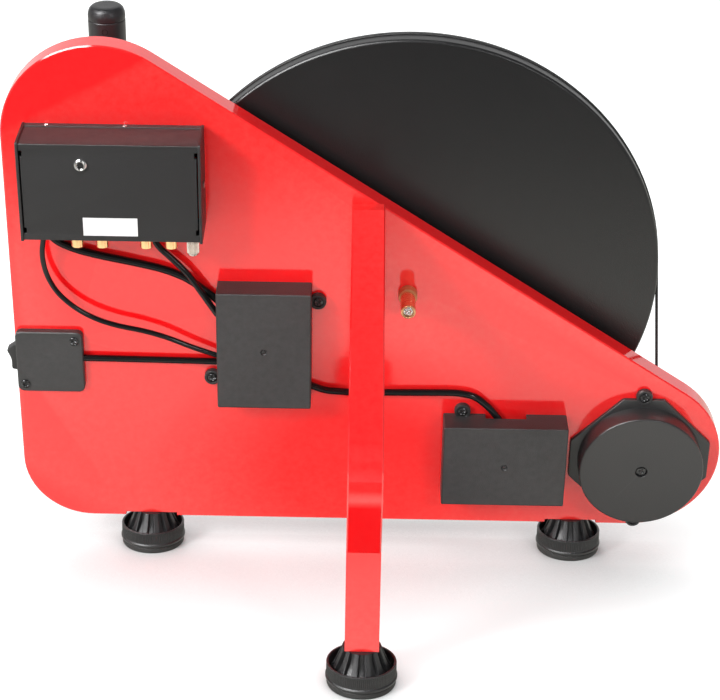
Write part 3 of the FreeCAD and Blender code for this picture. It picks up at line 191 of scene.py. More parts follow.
heading = add_node(sky, "TexCoord").outputs["Generated"]
heading_axes = add_node(sky, "SeparateXYZ", Vector=heading)
overhead = map_range(sky, heading_axes.outputs["Z"], (0.05, 0.55), (0.5, 0.16), smooth=True)
front_wall = map_range(sky, heading_axes.outputs["Y"], (-0.55, -0.85), (0, 1.1), smooth=True)
toward_window = Vector((0.5, 0.5, 0.72)).normalized()
window = map_range(sky, vector_value(sky, "DOT_PRODUCT", heading, toward_window),
                   (0.93, 0.96), (0, WINDOW_STRENGTH))
walls = math_node(sky, "MAXIMUM", overhead, front_wall)
studio = math_node(sky, "ADD", walls, window)
sky_path = add_node(sky, "LightPath").outputs
looked_through = math_node(sky, "MAXIMUM", sky_path["Is Camera Ray"],
                           sky_path["Is Transmission Ray"])
unseen = mixed_shader(sky, sky_path["Is Glossy Ray"], backdrop(LAMP_STRENGTH),
                      backdrop(studio))
add_node(sky, "OutputWorld",
         Surface=mixed_shader(sky, looked_through, unseen, backdrop(1.0)))


def soft_lamp(name, place, target_height, size, power, mirrored):
    """A disc lamp at `place` that faces the player; a larger one gives softer shadows."""
    data = bpy.data.lights.new(name, "AREA")
    data.shape = "DISK"
    data.size = size
    data.energy = power
    lamp = bpy.data.objects.new(name, data)
    lamp.location = place
    away = Vector(place) - Vector((0, 0, target_height))
    lamp.rotation_euler = away.to_track_quat("Z", "Y").to_euler()
    lamp.visible_glossy = mirrored
    bpy.context.scene.collection.objects.link(lamp)


soft_lamp("side_lamp", (1.15, 1.05, 0.95), 0.15, 0.5, 21, mirrored=True)
soft_lamp("top_lamp", (0.1, 0.8, 1.6), 0.15, 1.1, 6, mirrored=False)
soft_lamp("front_lamp", (0.3, -1.5, 1.1), 0.2, 1.0, 12, mirrored=False)
soft_lamp("camera_lamp", (-0.9, 1.5, 0.9), 0.15, 0.3, 5, mirrored=True)
bpy.context.scene.view_settings.view_transform = "Standard"
print("lamps", len(bpy.data.lights), "world nodes", len(sky.nodes))

# %% [markdown]
# ## The floor
# A pale sheet. To the camera it is partly its own light, so it stays near white, and the
# light is dimmed where something stands close over it, which is the shade under the feet.
# In reflections it shows a painted band of light behind the player. Painted shade dims the
# band close to the board, and the band fades again farther behind. Painted shade also dims
# it close round the leg's foot, and where it is seen from straight above. That makes the
# lacquer pale in the middle of the board, and deep red towards its top and on the leg's
# sloping face.

# %% Floor
FLOOR_HALF, BAND_REACH = 3.0, 1.0
BAND_GAIN, GLOW_GAIN, SHADE_POWER, GLOW_SHARE = 1.36, 1.8, 1.6, 0.5
LEG_FOOT = (0.005, 0.01, 0.0)
floor_mesh = bpy.data.meshes.new("floor")
floor_corners = np.array([[-1, -1, 0], [1, -1, 0], [1, 1, 0], [-1, 1, 0]]) * FLOOR_HALF
floor_mesh.from_pydata(floor_corners.tolist(), [], [(0, 1, 2, 3)])
floor = bpy.data.objects.new("floor", floor_mesh)
bpy.context.scene.collection.objects.link(floor)
floor_paint = bpy.data.materials.new("floor_paint")
floor_paint.use_nodes = True
coat = floor_paint.node_tree
coat.nodes.clear()

# The painted band of light in reflections, against the distance behind the axis, in metres;
# its dip close to the board is painted shade.
band_points = [(-0.15, 0.70), (-0.03, 0.76), (0.03, 0.86), (0.08, 0.98), (0.14, 1.04),
               (0.20, 1.04), (0.25, 0.94), (0.30, 0.66), (0.35, 0.34), (0.42, 0.08),
               (0.48, 0.06), (0.9, 0.10)]
on_curve = [((y + BAND_REACH) / (2 * BAND_REACH), value) for y, value in band_points]
place = add_node(coat, "TexCoord").outputs["Object"]
behind = add_node(coat, "SeparateXYZ", Vector=place).outputs["Y"]
band = add_node(coat, "FloatCurve",
                Value=map_range(coat, behind, (-BAND_REACH, BAND_REACH), (0, 1)))
band_curve = band.mapping.curves[0]
for x, value in on_curve[1:-1]:
    band_curve.points.new(x, value)
band_curve.points[0].location = on_curve[0]
band_curve.points[-1].location = on_curve[-1]
band.mapping.extend = "HORIZONTAL"
band.mapping.update()

# Painted shade in reflections: dim round the leg's foot, and dim where the sheet is seen from
# straight above.
leg_shade = map_range(coat, vector_value(coat, "DISTANCE", place, LEG_FOOT), (0.05, 0.14),
                      (0.2, 1))
incoming = add_node(coat, "NewGeometry").outputs["Incoming"]
steepness = add_node(coat, "SeparateXYZ", Vector=incoming).outputs["Z"]
mirrored_glow = band.outputs["Value"]
for factor in (leg_shade, map_range(coat, steepness, (0.78, 0.95), (1, 0.02)), BAND_GAIN):
    mirrored_glow = math_node(coat, "MULTIPLY", mirrored_glow, factor)
contact = add_node(coat, "AmbientOcclusion", Distance=0.15)
contact.samples = 8
contact_shade = math_node(coat, "POWER", contact.outputs["AO"], SHADE_POWER)
floor_path = add_node(coat, "LightPath").outputs
by_camera = floor_path["Is Camera Ray"]
strength = add_node(coat, "Mix", Factor=by_camera, A=mirrored_glow,
                    B=math_node(coat, "MULTIPLY", contact_shade, GLOW_GAIN))
glow = add_node(coat, "Emission", Strength=strength.outputs["Result"],
                Color=mixed_colour(coat, by_camera, (1, 0.99, 0.90, 1), (0.97, 1, 1, 1)))
matt = add_node(coat, "BsdfDiffuse", Color=(0.95, 0.95, 0.95, 1))
glow_share = math_node(coat, "MULTIPLY_ADD", by_camera, GLOW_SHARE,
                       floor_path["Is Glossy Ray"])
add_node(coat, "OutputMaterial",
         Surface=mixed_shader(coat, glow_share, matt.outputs[0], glow.outputs[0]))
floor_mesh.materials.append(floor_paint)
print("floor side", 2 * FLOOR_HALF, "m")

# %% [markdown]
# ## Effects shared by several finishes
# Four node groups are built once: a moulded grain, turned rings, lighter edges for wear
# and a painted edge sheen, and a slow drift of colour. Each puts out masks, colours, values
# or a normal, never a shader, and each material places them with its own sizes.

# %% Node groups
FLOAT, VECTOR, COLOUR = "NodeSocketFloat", "NodeSocketVector", "NodeSocketColor"


def new_group(name, inputs, outputs):
    """An empty shader group with a Vector input and named sockets.

    `inputs` are (name, type, default); `outputs` are (name, type).
    """
    tree = bpy.data.node_groups.new(name, "ShaderNodeTree")
    tree.interface.new_socket("Vector", in_out="INPUT", socket_type=VECTOR)
    for label, kind, value in inputs:
        socket = tree.interface.new_socket(label, in_out="INPUT", socket_type=kind)
        socket.default_value = value
    for label, kind in outputs:
        tree.interface.new_socket(label, in_out="OUTPUT", socket_type=kind)
    return tree, tree.nodes.new("NodeGroupInput").outputs, tree.nodes.new("NodeGroupOutput")


def noise_node(tree, vector, scale, detail, roughness):
    """Smooth noise from 0 to 1; `detail` counts its finer layers, `roughness` weighs them."""
    return add_node(tree, "TexNoise", Vector=vector, Scale=scale, Detail=detail,
                    Roughness=roughness).outputs["Fac"]


def give(tree, group_out, **values):
    """Links each value to the group's output of that name."""
    for label, value in values.items():
        tree.links.new(value, group_out.inputs[label])


def surface_group(name, size_label, size, depth, low, high):
    """A group for a fine surface: it gives a normal, a roughness and a mask."""
    return new_group(
        name, [(size_label, FLOAT, size), ("Depth", FLOAT, depth),
               ("Low roughness", FLOAT, low), ("High roughness", FLOAT, high)],
        [("Normal", VECTOR), ("Roughness", FLOAT), ("Mask", FLOAT)])


def give_surface(tree, group_in, group_out, height, distance, mask):
    """A bump `distance` metres high, and low + mask (high - low) as the roughness."""
    bump = add_node(tree, "Bump", Height=height, Strength=group_in["Depth"],
                    Distance=distance)
    ends = group_in["Low roughness"], group_in["High roughness"]
    give(tree, group_out, Normal=bump.outputs["Normal"],
         Roughness=map_range(tree, mask, (0, 1), ends), Mask=mask)


# A moulded grain: two sizes of pebble, as spark erosion leaves in the tool.
grain, grain_in, grain_out = surface_group("moulded grain", "Scale", 900.0, 0.25, 0.4, 0.6)
pebble = noise_node(grain, grain_in["Vector"], grain_in["Scale"], 3.0, 0.6)
broad_scale = math_node(grain, "MULTIPLY", grain_in["Scale"], 0.04)
broad = noise_node(grain, grain_in["Vector"], broad_scale, 3.0, 0.5)
give_surface(grain, grain_in, grain_out, pebble, 0.0006, broad)

# Turned rings: fine grooves about the Y axis of whatever vector comes in. The noise reads
# (sqrt(x^2 + z^2), y, 0), which is the same all the way round.
rings, rings_in, rings_out = surface_group("turned rings", "Pitch", 2500.0, 0.2, 0.2, 0.4)
split = add_node(rings, "SeparateXYZ", Vector=rings_in["Vector"]).outputs
square_x = math_node(rings, "MULTIPLY", split["X"], split["X"])
square_z = math_node(rings, "MULTIPLY", split["Z"], split["Z"])
axis_distance = math_node(rings, "SQRT", math_node(rings, "ADD", square_x, square_z))
profile_place = add_node(rings, "CombineXYZ", X=axis_distance, Y=split["Y"]).outputs[0]
groove = noise_node(rings, profile_place, rings_in["Pitch"], 2.0, 0.7)
give_surface(rings, rings_in, rings_out, groove, 0.0004, groove)

# Edge wear and painted sheen: the outermost edges of a coating are made a little lighter,
# for wear where hands rub them and for a painted highlight along the edges.
wear, wear_sheen_in, wear_sheen_out = new_group(
    "edge wear", [("Colour", COLOUR, (0.1, 0.1, 0.1, 1)),
                  ("Worn colour", COLOUR, (0.3, 0.3, 0.3, 1)), ("Amount", FLOAT, 0.4)],
    [("Colour", COLOUR), ("Mask", FLOAT)])
pointiness = add_node(wear, "NewGeometry").outputs["Pointiness"]
edge_mask = map_range(wear, pointiness, (0.53, 0.62), (0, 1))
broken = noise_node(wear, wear_sheen_in["Vector"], 260.0, 4.0, 0.6)
rubbed_and_lit = math_node(wear, "MULTIPLY", edge_mask, broken)
rubbed_and_lit = math_node(wear, "MULTIPLY", rubbed_and_lit, wear_sheen_in["Amount"], clamp=True)
give(wear, wear_sheen_out, Mask=rubbed_and_lit,
     Colour=mixed_colour(wear, rubbed_and_lit, wear_sheen_in["Colour"], wear_sheen_in["Worn colour"]))

# Tone: a slow drift of colour over a surface, as in any poured, sprayed or moulded skin.
tone, tone_in, tone_out = new_group(
    "colour drift", [("Colour", COLOUR, (0.1, 0.1, 0.1, 1)),
                     ("Other colour", COLOUR, (0.12, 0.12, 0.12, 1)),
                     ("Scale", FLOAT, 14.0)],
    [("Colour", COLOUR), ("Mask", FLOAT)])
drift = noise_node(tone, tone_in["Vector"], tone_in["Scale"], 3.0, 0.5)
give(tone, tone_out, Mask=drift,
     Colour=mixed_colour(tone, drift, tone_in["Colour"], tone_in["Other colour"]))
print("node groups", len(bpy.data.node_groups))

# %% [markdown]
# ## Finishes
# Every finish starts from the same three nodes: object coordinates, a Principled shader
# and the output. The groups above then give it what its real surface has. Turned parts
# need their own axis, so a Mapping node carries the coordinates onto it first.

# %% Material helpers
BOARD_EULER = (-LEAN, 0.0, 0.0)
UP_BOARD_EULER = (math.pi / 2 - LEAN, 0.0, 0.0)


class Finish:
    """A material under construction: its tree, its shader and its coordinates."""

    def __init__(self, name, colour, roughness, metallic=0.0, **plain):
        self.material = bpy.data.materials.new(name)
        self.material.use_nodes = True
        self.tree = self.material.node_tree
        self.tree.nodes.clear()
        self.colour = (*colour, 1.0)
        self.shader = add_node(self.tree, "BsdfPrincipled", Base_Color=self.colour,
                               Roughness=roughness, Metallic=metallic, **plain)
        add_node(self.tree, "OutputMaterial", Surface=self.shader.outputs[0])
        self.vector = add_node(self.tree, "TexCoord").outputs["Object"]

    def about(self, centre, euler):
        """Moves the coordinates onto an axis through `centre`, in scene metres."""
        mapping = self.tree.nodes.new("ShaderNodeMapping")
        mapping.vector_type = "TEXTURE"
        for label, value in (("Location", centre), ("Rotation", euler),
                             ("Vector", self.vector)):
            put(self.tree, mapping.inputs[label], value)
        self.vector = mapping.outputs["Vector"]

    def group(self, group, **values):
        """Places a node group on the coordinates, with this material's own values."""
        node = self.tree.nodes.new("ShaderNodeGroup")
        node.node_tree = group
        for label, value in {"Vector": self.vector, **values}.items():
            put(self.tree, node.inputs[label.replace("_", " ")], value)
        return node.outputs

    def textured(self, group, low, high, **values):
        """Adds a group that gives both the normal and the roughness."""
        made = self.group(group, Low_roughness=low, High_roughness=high, **values)
        for label in ("Normal", "Roughness"):
            put(self.tree, self.shader.inputs[label], made[label])

    def drifting(self, other, scale, wear_and_sheen=None, amount=0.4):
        """Adds the slow drift of colour, and lighter edges for wear and painted sheen if
        given.
        """
        result = self.group(tone, Colour=self.colour, Other_colour=(*other, 1.0),
                            Scale=scale)["Colour"]
        if wear_and_sheen is not None:
            result = self.group(wear, Colour=result, Worn_colour=(*wear_and_sheen, 1.0),
                                Amount=amount)["Colour"]
        put(self.tree, self.shader.inputs["Base Color"], result)


def coated(name, colour, other, roughness, grain_scale, depth, low, high, drift_scale,
           metallic=0.0, wear_and_sheen=None, amount=0.4, **plain):
    """A grained finish between two colours and between two roughnesses.

    The grain's scale and the drift's scale are per metre; the edge colour, where given,
    lightens the edges for wear and a painted edge sheen.
    """
    finish = Finish(name, colour, roughness, metallic, **plain)
    finish.textured(grain, low, high, Scale=grain_scale, Depth=depth)
    finish.drifting(other, drift_scale, wear_and_sheen, amount)
    return finish


# %% [markdown]
# Lacquer is a thick clear film over red, sanded and polished. It mirrors the room, but
# not sharply: there is a faint orange peel left in it. A high refractive index on the
# shader itself gives that strong white sheen without washing out the red beneath.

# %% Lacquer
# The pale pink edge colour is a painted highlight along the lacquer's edges.
lacquer = coated("red_lacquer_gloss", (0.93, 0.004, 0.008), (0.88, 0.003, 0.006), 0.12,
                 210.0, 0.035, 0.07, 0.13, 6.0, wear_and_sheen=(0.95, 0.16, 0.13), amount=0.35,
                 IOR=1.74)
print("lacquer nodes", len(lacquer.tree.nodes))

# %% [markdown]
# The moulded covers have a spark-eroded grain, so they scatter light and look charcoal
# rather than black. The folded box has a finer powder coat. The numbers of each finish
# are its first roughness, the grain's scale and depth, the two roughnesses it drifts
# between, and the scale of the drift.

# %% Mouldings and paint
# The lighter edge colours below stand for wear and a painted edge sheen.
moulding = coated("charcoal_moulding", (0.021, 0.0205, 0.021), (0.026, 0.0255, 0.026),
                  0.5, 1500.0, 0.3, 0.42, 0.52, 22.0, wear_and_sheen=(0.12, 0.12, 0.12), amount=0.3)
cap_moulding = coated("satin_cap_moulding", (0.028, 0.0275, 0.028),
                      (0.034, 0.0335, 0.034), 0.3, 1500.0, 0.16, 0.25, 0.34, 30.0,
                      wear_and_sheen=(0.16, 0.16, 0.16))
cup_moulding = coated("black_cup_moulding", (0.013, 0.013, 0.014), (0.022, 0.022, 0.023),
                      0.42, 1900.0, 0.22, 0.32, 0.5, 60.0, wear_and_sheen=(0.09, 0.09, 0.09),
                      amount=0.5)
box_paint = coated("black_powder_coat", (0.017, 0.0165, 0.017), (0.021, 0.0205, 0.021),
                   0.42, 2600.0, 0.35, 0.36, 0.5, 16.0, wear_and_sheen=(0.2, 0.19, 0.19), amount=0.5)
gloss_black = coated("black_gloss_moulding", (0.009, 0.009, 0.010), (0.014, 0.014, 0.015),
                     0.18, 700.0, 0.05, 0.13, 0.24, 40.0)
jack_black = coated("socket_liner_black", (0.004, 0.004, 0.004), (0.006, 0.006, 0.006),
                    0.5, 900.0, 0.1, 0.42, 0.6, 90.0, IOR=1.3)
jacket = coated("lead_jacket", (0.003, 0.003, 0.0035), (0.006, 0.006, 0.0065),
                0.12, 420.0, 0.05, 0.09, 0.17, 50.0, IOR=1.38)
rubber = coated("pad_rubber", (0.016, 0.016, 0.016), (0.028, 0.027, 0.026),
                0.72, 1300.0, 0.3, 0.62, 0.8, 70.0)
belt_rubber = coated("belt_rubber", (0.012, 0.012, 0.012), (0.02, 0.02, 0.02),
                     0.6, 1700.0, 0.15, 0.5, 0.7, 60.0)
label_film = coated("blank_label_film", (0.80, 0.80, 0.80), (0.74, 0.745, 0.75),
                    0.38, 600.0, 0.05, 0.3, 0.45, 90.0)
circuit_green = coated("circuit_lacquer", (0.02, 0.14, 0.05), (0.03, 0.19, 0.07),
                       0.3, 300.0, 0.1, 0.22, 0.4, 120.0)
terminal_nylon = coated("terminal_nylon", (0.42, 0.42, 0.40), (0.36, 0.36, 0.35),
                        0.45, 900.0, 0.12, 0.38, 0.55, 60.0)
stylus_red = coated("stylus_moulding", (0.55, 0.02, 0.02), (0.45, 0.015, 0.02),
                    0.3, 800.0, 0.06, 0.22, 0.38, 90.0)
felt = coated("mat_felt", (0.020, 0.020, 0.022), (0.034, 0.034, 0.037),
              0.9, 2400.0, 0.8, 0.82, 0.97, 240.0)
print("coated finishes", len(bpy.data.materials) - 1)

# %% [markdown]
# Turned metal shows its feed marks: fine rings about its own axis. Each turned piece
# gets its finish with the coordinates on that axis. Small plated parts have a plain grain.

# %% Turned metals
def turned_metal(name, colour, other, centre, euler, low=0.16, high=0.34, pitch=3200.0,
                 depth=0.14, metallic=1.0):
    """A metal with rings about the axis that `centre` and `euler` give."""
    finish = Finish(name, colour, low, metallic)
    finish.about(tuple(centre), euler)
    finish.textured(rings, low, high, Pitch=pitch, Depth=depth)
    finish.drifting(other, 120.0)
    return finish


platter_centre, motor_centre, arm_centre, tube_centre, post_centre, jack_centre = on_board(
    [[0, 0, 0], [-144.8, 0, -112], [178, 0, 83.5], [178, -59, 83.5], [124.4, 14, 45.9],
     [184.9, 28, 93.3]])
brass = turned_metal("bearing_brass", (0.82, 0.50, 0.26), (0.72, 0.40, 0.19),
                     platter_centre, BOARD_EULER, 0.2, 0.34, metallic=0.85)
nut_brass = turned_metal("locknut_brass", (0.62, 0.30, 0.14), (0.5, 0.22, 0.09),
                         platter_centre, BOARD_EULER, 0.3, 0.46, metallic=0.6)
bushing_bronze = turned_metal("bush_bronze", (0.55, 0.33, 0.17), (0.45, 0.26, 0.13),
                              platter_centre, BOARD_EULER, 0.4, 0.6)
bearing_steel = turned_metal("bearing_steel", (0.78, 0.78, 0.79), (0.68, 0.68, 0.69),
                             platter_centre, BOARD_EULER, 0.08, 0.2)
motor_steel = turned_metal("motor_steel", (0.55, 0.55, 0.56), (0.48, 0.48, 0.49),
                           motor_centre, BOARD_EULER, 0.3, 0.45)
pulley_brass = turned_metal("pulley_brass", (0.78, 0.57, 0.28), (0.68, 0.47, 0.21),
                            motor_centre, BOARD_EULER)
base_anodised = turned_metal("arm_base_anodised", (0.035, 0.035, 0.037),
                             (0.05, 0.05, 0.052), arm_centre, BOARD_EULER, 0.28, 0.4,
                             2600.0, 0.1, 0.7)
clamp_anodised = turned_metal("clamp_anodised", (0.035, 0.035, 0.037),
                              (0.05, 0.05, 0.052), platter_centre, BOARD_EULER, 0.24,
                              0.38, 2600.0, 0.12, 0.7)
weight_anodised = turned_metal("weight_anodised", (0.022, 0.022, 0.024),
                               (0.032, 0.032, 0.034), tube_centre, UP_BOARD_EULER, 0.32,
                               0.46, 2600.0, 0.12, 0.3)
tube_aluminium = turned_metal("tube_aluminium", (0.82, 0.82, 0.83), (0.74, 0.74, 0.75),
                              tube_centre, UP_BOARD_EULER, 0.22, 0.36)
nickel = turned_metal("post_nickel", (0.80, 0.75, 0.70), (0.68, 0.62, 0.57),
                      post_centre, UP_BOARD_EULER, 0.14, 0.3)
jack_nickel = turned_metal("jack_nickel", (0.86, 0.86, 0.86), (0.72, 0.72, 0.72),
                           jack_centre, BOARD_EULER, 0.1, 0.22)
insert_brass = coated("insert_brass", (0.72, 0.52, 0.26), (0.62, 0.43, 0.2),
                      0.35, 900.0, 0.1, 0.28, 0.42, 90.0, metallic=1.0)
gold = coated("gold_plate", (0.96, 0.64, 0.34), (0.90, 0.55, 0.26),
              0.18, 900.0, 0.05, 0.12, 0.26, 160.0, metallic=1.0)
screw_black = coated("screw_black_oxide", (0.035, 0.035, 0.037), (0.09, 0.09, 0.092),
                     0.14, 1200.0, 0.08, 0.08, 0.2, 260.0, metallic=0.8)
screw_zinc = coated("screw_zinc", (0.62, 0.62, 0.60), (0.5, 0.5, 0.49),
                    0.24, 1200.0, 0.1, 0.18, 0.34, 260.0, metallic=1.0)
print("metals made")

# %% [markdown]
# The platter is a thick black disc with a satin skin. It is the largest plain surface
# here, so its finish must carry it: a fine grain, a slow change of tone, and edges made
# a little lighter, for handling wear and a painted edge sheen.

# %% Platter
platter_skin = Finish("platter_satin", (0.010, 0.010, 0.0105), 0.34)
platter_skin.about(tuple(platter_centre), BOARD_EULER)
platter_skin.textured(grain, 0.27, 0.36, Scale=1500.0, Depth=0.18)
platter_skin.drifting((0.013, 0.013, 0.0135), 9.0, wear_and_sheen=(0.12, 0.12, 0.12), amount=0.25)
print("materials", len(bpy.data.materials))

# %% [markdown]
# ## Surfaces from numbers
# A piece is a grid of points worked out at once with numpy, joined into faces by one
# index array. A lathe turns a profile, a slab carries an outline through rings that
# round its edges, and a tube carries a circle along a path.

# %% Shape helpers
MERGE, THIN = 2e-6, 1e-7  # metres: points this close are one, edges this short are none
CRISP = math.radians(32)


def soften(corners, radius, steps=4, closed=False):
    """Rounds every corner P of a polyline with a Bezier arc.

    Each arc is (1-t)^2 A + 2t(1-t) P + t^2 B, where A and B lie `radius` before and
    after the corner, but never past 0.46 of the shorter side.
    """
    points = np.asarray(corners, float)
    into = np.roll(points, 1, 0) - points
    out = np.roll(points, -1, 0) - points
    into_length = np.linalg.norm(into, axis=1)[:, None] + 1e-12
    out_length = np.linalg.norm(out, axis=1)[:, None] + 1e-12
    wanted = np.broadcast_to(np.asarray(radius, float), (len(points),))[:, None]
    reach = np.minimum(wanted, 0.46 * np.minimum(into_length, out_length))
    if not closed:
        reach[[0, -1]] = 0
    start = points + into / into_length * reach
    end = points + out / out_length * reach
    t = np.linspace(0, 1, steps + 1)[:, None, None]
    arcs = (1 - t) ** 2 * start + 2 * t * (1 - t) * points + t ** 2 * end
    line = arcs.transpose(1, 0, 2).reshape(-1, points.shape[1])
    step = np.linalg.norm(line - np.roll(line, 1, 0), axis=1)
    keep = step > 1e-6
    if not closed:
        keep[0] = True
    return line[keep]


def shell(grid):
    """A grid of points as (points, faces): quads between neighbours, closed round a row."""
    rows, columns = grid.shape[:2]
    row, column = np.arange(rows - 1)[:, None], np.arange(columns)[None, :]
    next_column = (column + 1) % columns
    corners = [row * columns + column, row * columns + next_column,
               (row + 1) * columns + next_column, (row + 1) * columns + column]
    faces = np.stack(np.broadcast_arrays(*corners), -1).reshape(-1, 4)
    return grid.reshape(-1, 3), [tuple(face) for face in faces.tolist()]


def lathe(profile, segments, ripple=None):
    """Turns (radius, height) points about Y: (r cos a, y, r sin a), as (points, faces).

    `ripple` takes the angles and the profile's index and returns what to add to r.
    """
    profile = np.asarray(profile, float)
    angle = np.arange(segments) / segments * 2 * np.pi
    radii = np.repeat(profile[:, :1], segments, axis=1)
    if ripple is not None:
        radii = radii + ripple(angle[None, :], np.arange(len(profile))[:, None])
    heights = np.repeat(profile[:, 1:], segments, axis=1)
    return shell(np.stack([radii * np.cos(angle), heights, radii * np.sin(angle)], -1))


def turned(profile, rounding, steps, segments):
    """A lathe's work from a profile whose corners are rounded first."""
    return lathe(soften(profile, rounding, steps), segments)


def joined(*shells):
    """Several (points, faces) as one."""
    points, faces, count = [], [], 0
    for more_points, more_faces in shells:
        points.append(more_points)
        faces += [tuple(index + count for index in face) for face in more_faces]
        count += len(more_points)
    return np.concatenate(points), faces


def moved(one, turn=None, shift=(0, 0, 0)):
    """(points, faces) turned by a matrix, then shifted."""
    points = one[0] if turn is None else one[0] @ np.asarray(turn, float).T
    return points + np.asarray(shift, float), one[1]


def ring_inset(outline, distance):
    """An outline shrunk by `distance` along its own normals."""
    ahead = np.roll(outline, -1, 0) - outline
    behind = outline - np.roll(outline, 1, 0)
    ahead /= np.linalg.norm(ahead, axis=1)[:, None]
    behind /= np.linalg.norm(behind, axis=1)[:, None]
    along = ahead + behind
    along /= np.linalg.norm(along, axis=1)[:, None]
    area = np.sum(outline[:, 0] * np.roll(outline[:, 1], -1)
                  - np.roll(outline[:, 0], -1) * outline[:, 1])
    inward = np.stack([-along[:, 1], along[:, 0]], 1) * np.sign(area)
    return outline + inward * distance


def slab(outline, low, high, low_round, high_round, steps=4):
    """An (x, z) outline carried from Y low to Y high, its two edges rounded.

    A rounded edge is a quarter circle of rings: at angle a the inset is
    r (1 - cos a) and the height is r (1 - sin a) from the face.
    """
    outline = np.asarray(outline, float)
    turn = np.linspace(0, np.pi / 2, steps + 1)
    insets = np.concatenate([low_round * (1 - np.sin(turn)),
                             high_round * (1 - np.cos(turn))])
    heights = np.concatenate([low + low_round * (1 - np.cos(turn)),
                              high - high_round * (1 - np.sin(turn))])
    rings_2d = [ring_inset(outline, inset) if inset > 0 else outline for inset in insets]
    grid = np.stack([np.stack([r[:, 0], np.full(len(r), y), r[:, 1]], -1)
                     for r, y in zip(rings_2d, heights)])
    pieces = [shell(grid)]
    for face in (grid[0], grid[-1]):
        triangles = tessellate_polygon([[Vector(p) for p in face.tolist()]])
        pieces.append((face, [tuple(t) for t in triangles]))
    return joined(*pieces)


def build(name, body, material, one, place=on_board, stands_for=()):
    """Puts (points, faces) in a mesh, mends its seams, and lets it ride on a body.

    `place` takes millimetres to the scene, and `stands_for` names the CAD nodes that the
    piece replaces. Edges that bend by more than CRISP stay crisp.
    """
    mesh = bpy.data.meshes.new(name)
    mesh.from_pydata(place(one[0]).tolist(), [], one[1])
    work = bmesh.new()
    work.from_mesh(mesh)
    bmesh.ops.remove_doubles(work, verts=work.verts, dist=MERGE)
    bmesh.ops.dissolve_degenerate(work, edges=work.edges, dist=THIN)
    bmesh.ops.recalc_face_normals(work, faces=work.faces)
    work.to_mesh(mesh)
    work.free()
    mesh.shade_smooth()
    mesh.set_sharp_from_angle(angle=CRISP)
    mesh.materials.append(material.material)
    piece = bpy.data.objects.new(name, mesh)
    bpy.context.scene.collection.objects.link(piece)
    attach(piece, body)
    if stands_for:
        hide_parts(*stands_for)


def dress(material, *names):
    """Gives CAD nodes their finish."""
    for name in names:
        node = nodes[name]
        if not node.material_slots:
            node.data.materials.append(material.material)
        for slot in node.material_slots:
            slot.material = material.material


# %% [markdown]
# ## Screws
# The covers are held by small black pan-head screws. Each head is a shallow dome with a
# cross pressed into it, and that cross is what catches the light, so it is real shape and
# not a bump: one grid over radius and angle, whose height is the dome less the cross.

# %% Screw heads
MOTOR_AXIS = (-144.8, 0, -112)
FIRST_TURN, NEXT_TURN = 0.4, 0.9  # radians that the crosses are turned by


def turn_to(axis, up=(0, 0, 1)):
    """The rotation that carries Y onto `axis`, as a matrix of three columns."""
    along = np.asarray(axis, float) / np.linalg.norm(axis)
    side = np.cross(along, up)
    if np.linalg.norm(side) < 1e-6:
        side = np.array([1.0, 0, 0])
    side = side / np.linalg.norm(side)
    return np.stack([side, along, np.cross(side, along)], 1)


BACK, FRONT, UP, DOWN = (0, 1, 0), (0, -1, 0), (0, 0, 1), (0, 0, -1)
LEFT, RIGHT = (1, 0, 0), (-1, 0, 0)


def screw_shape(radius, thick, shank, long, cross_turn):
    """A pan head and its shank. Over radius r and angle a the top's height is
    thick (1 - 0.45 (r/R)^3.2) - 0.62 thick s(w - |v|) s(l - |u|), where (u, v) are the
    coordinates along and across each bar of the cross and s is a soft step.
    """
    rows, columns = 20, 56
    r = np.linspace(0.02, 1, rows)[:, None] * radius
    a = np.arange(columns)[None, :] / columns * 2 * np.pi
    x, z = r * np.cos(a), r * np.sin(a)
    turn = np.array([math.cos(cross_turn), math.sin(cross_turn)])
    u, v = x * turn[0] + z * turn[1], z * turn[0] - x * turn[1]

    def bar(along, across):
        wide, reach, soft = 0.16 * radius, 0.62 * radius, 0.05 * radius
        step = 1 / (1 + np.exp(-(wide - np.abs(across)) / soft))
        return step / (1 + np.exp(-(reach - np.abs(along)) / soft))

    cross = np.maximum(bar(u, v), bar(v, u))
    top = thick * (1 - 0.45 * (r / radius) ** 3.2) - 0.62 * thick * cross
    dome = shell(np.stack([x, top + 0 * a, z], -1))
    side = lathe([(radius, thick * 0.55), (radius, thick * 0.12), (radius * 0.97, 0),
                  (shank, 0), (shank, -long), (0.01, -long)], columns)
    return joined(dome, side)


def screws(spots, axis, radius, thick, shank, long):
    """The same screw at several (x, y, z) feet, each turned a little further."""
    turn = turn_to(axis)
    return [moved(screw_shape(radius, thick, shank, long, FIRST_TURN + NEXT_TURN * index),
                  turn, spot) for index, spot in enumerate(spots)]


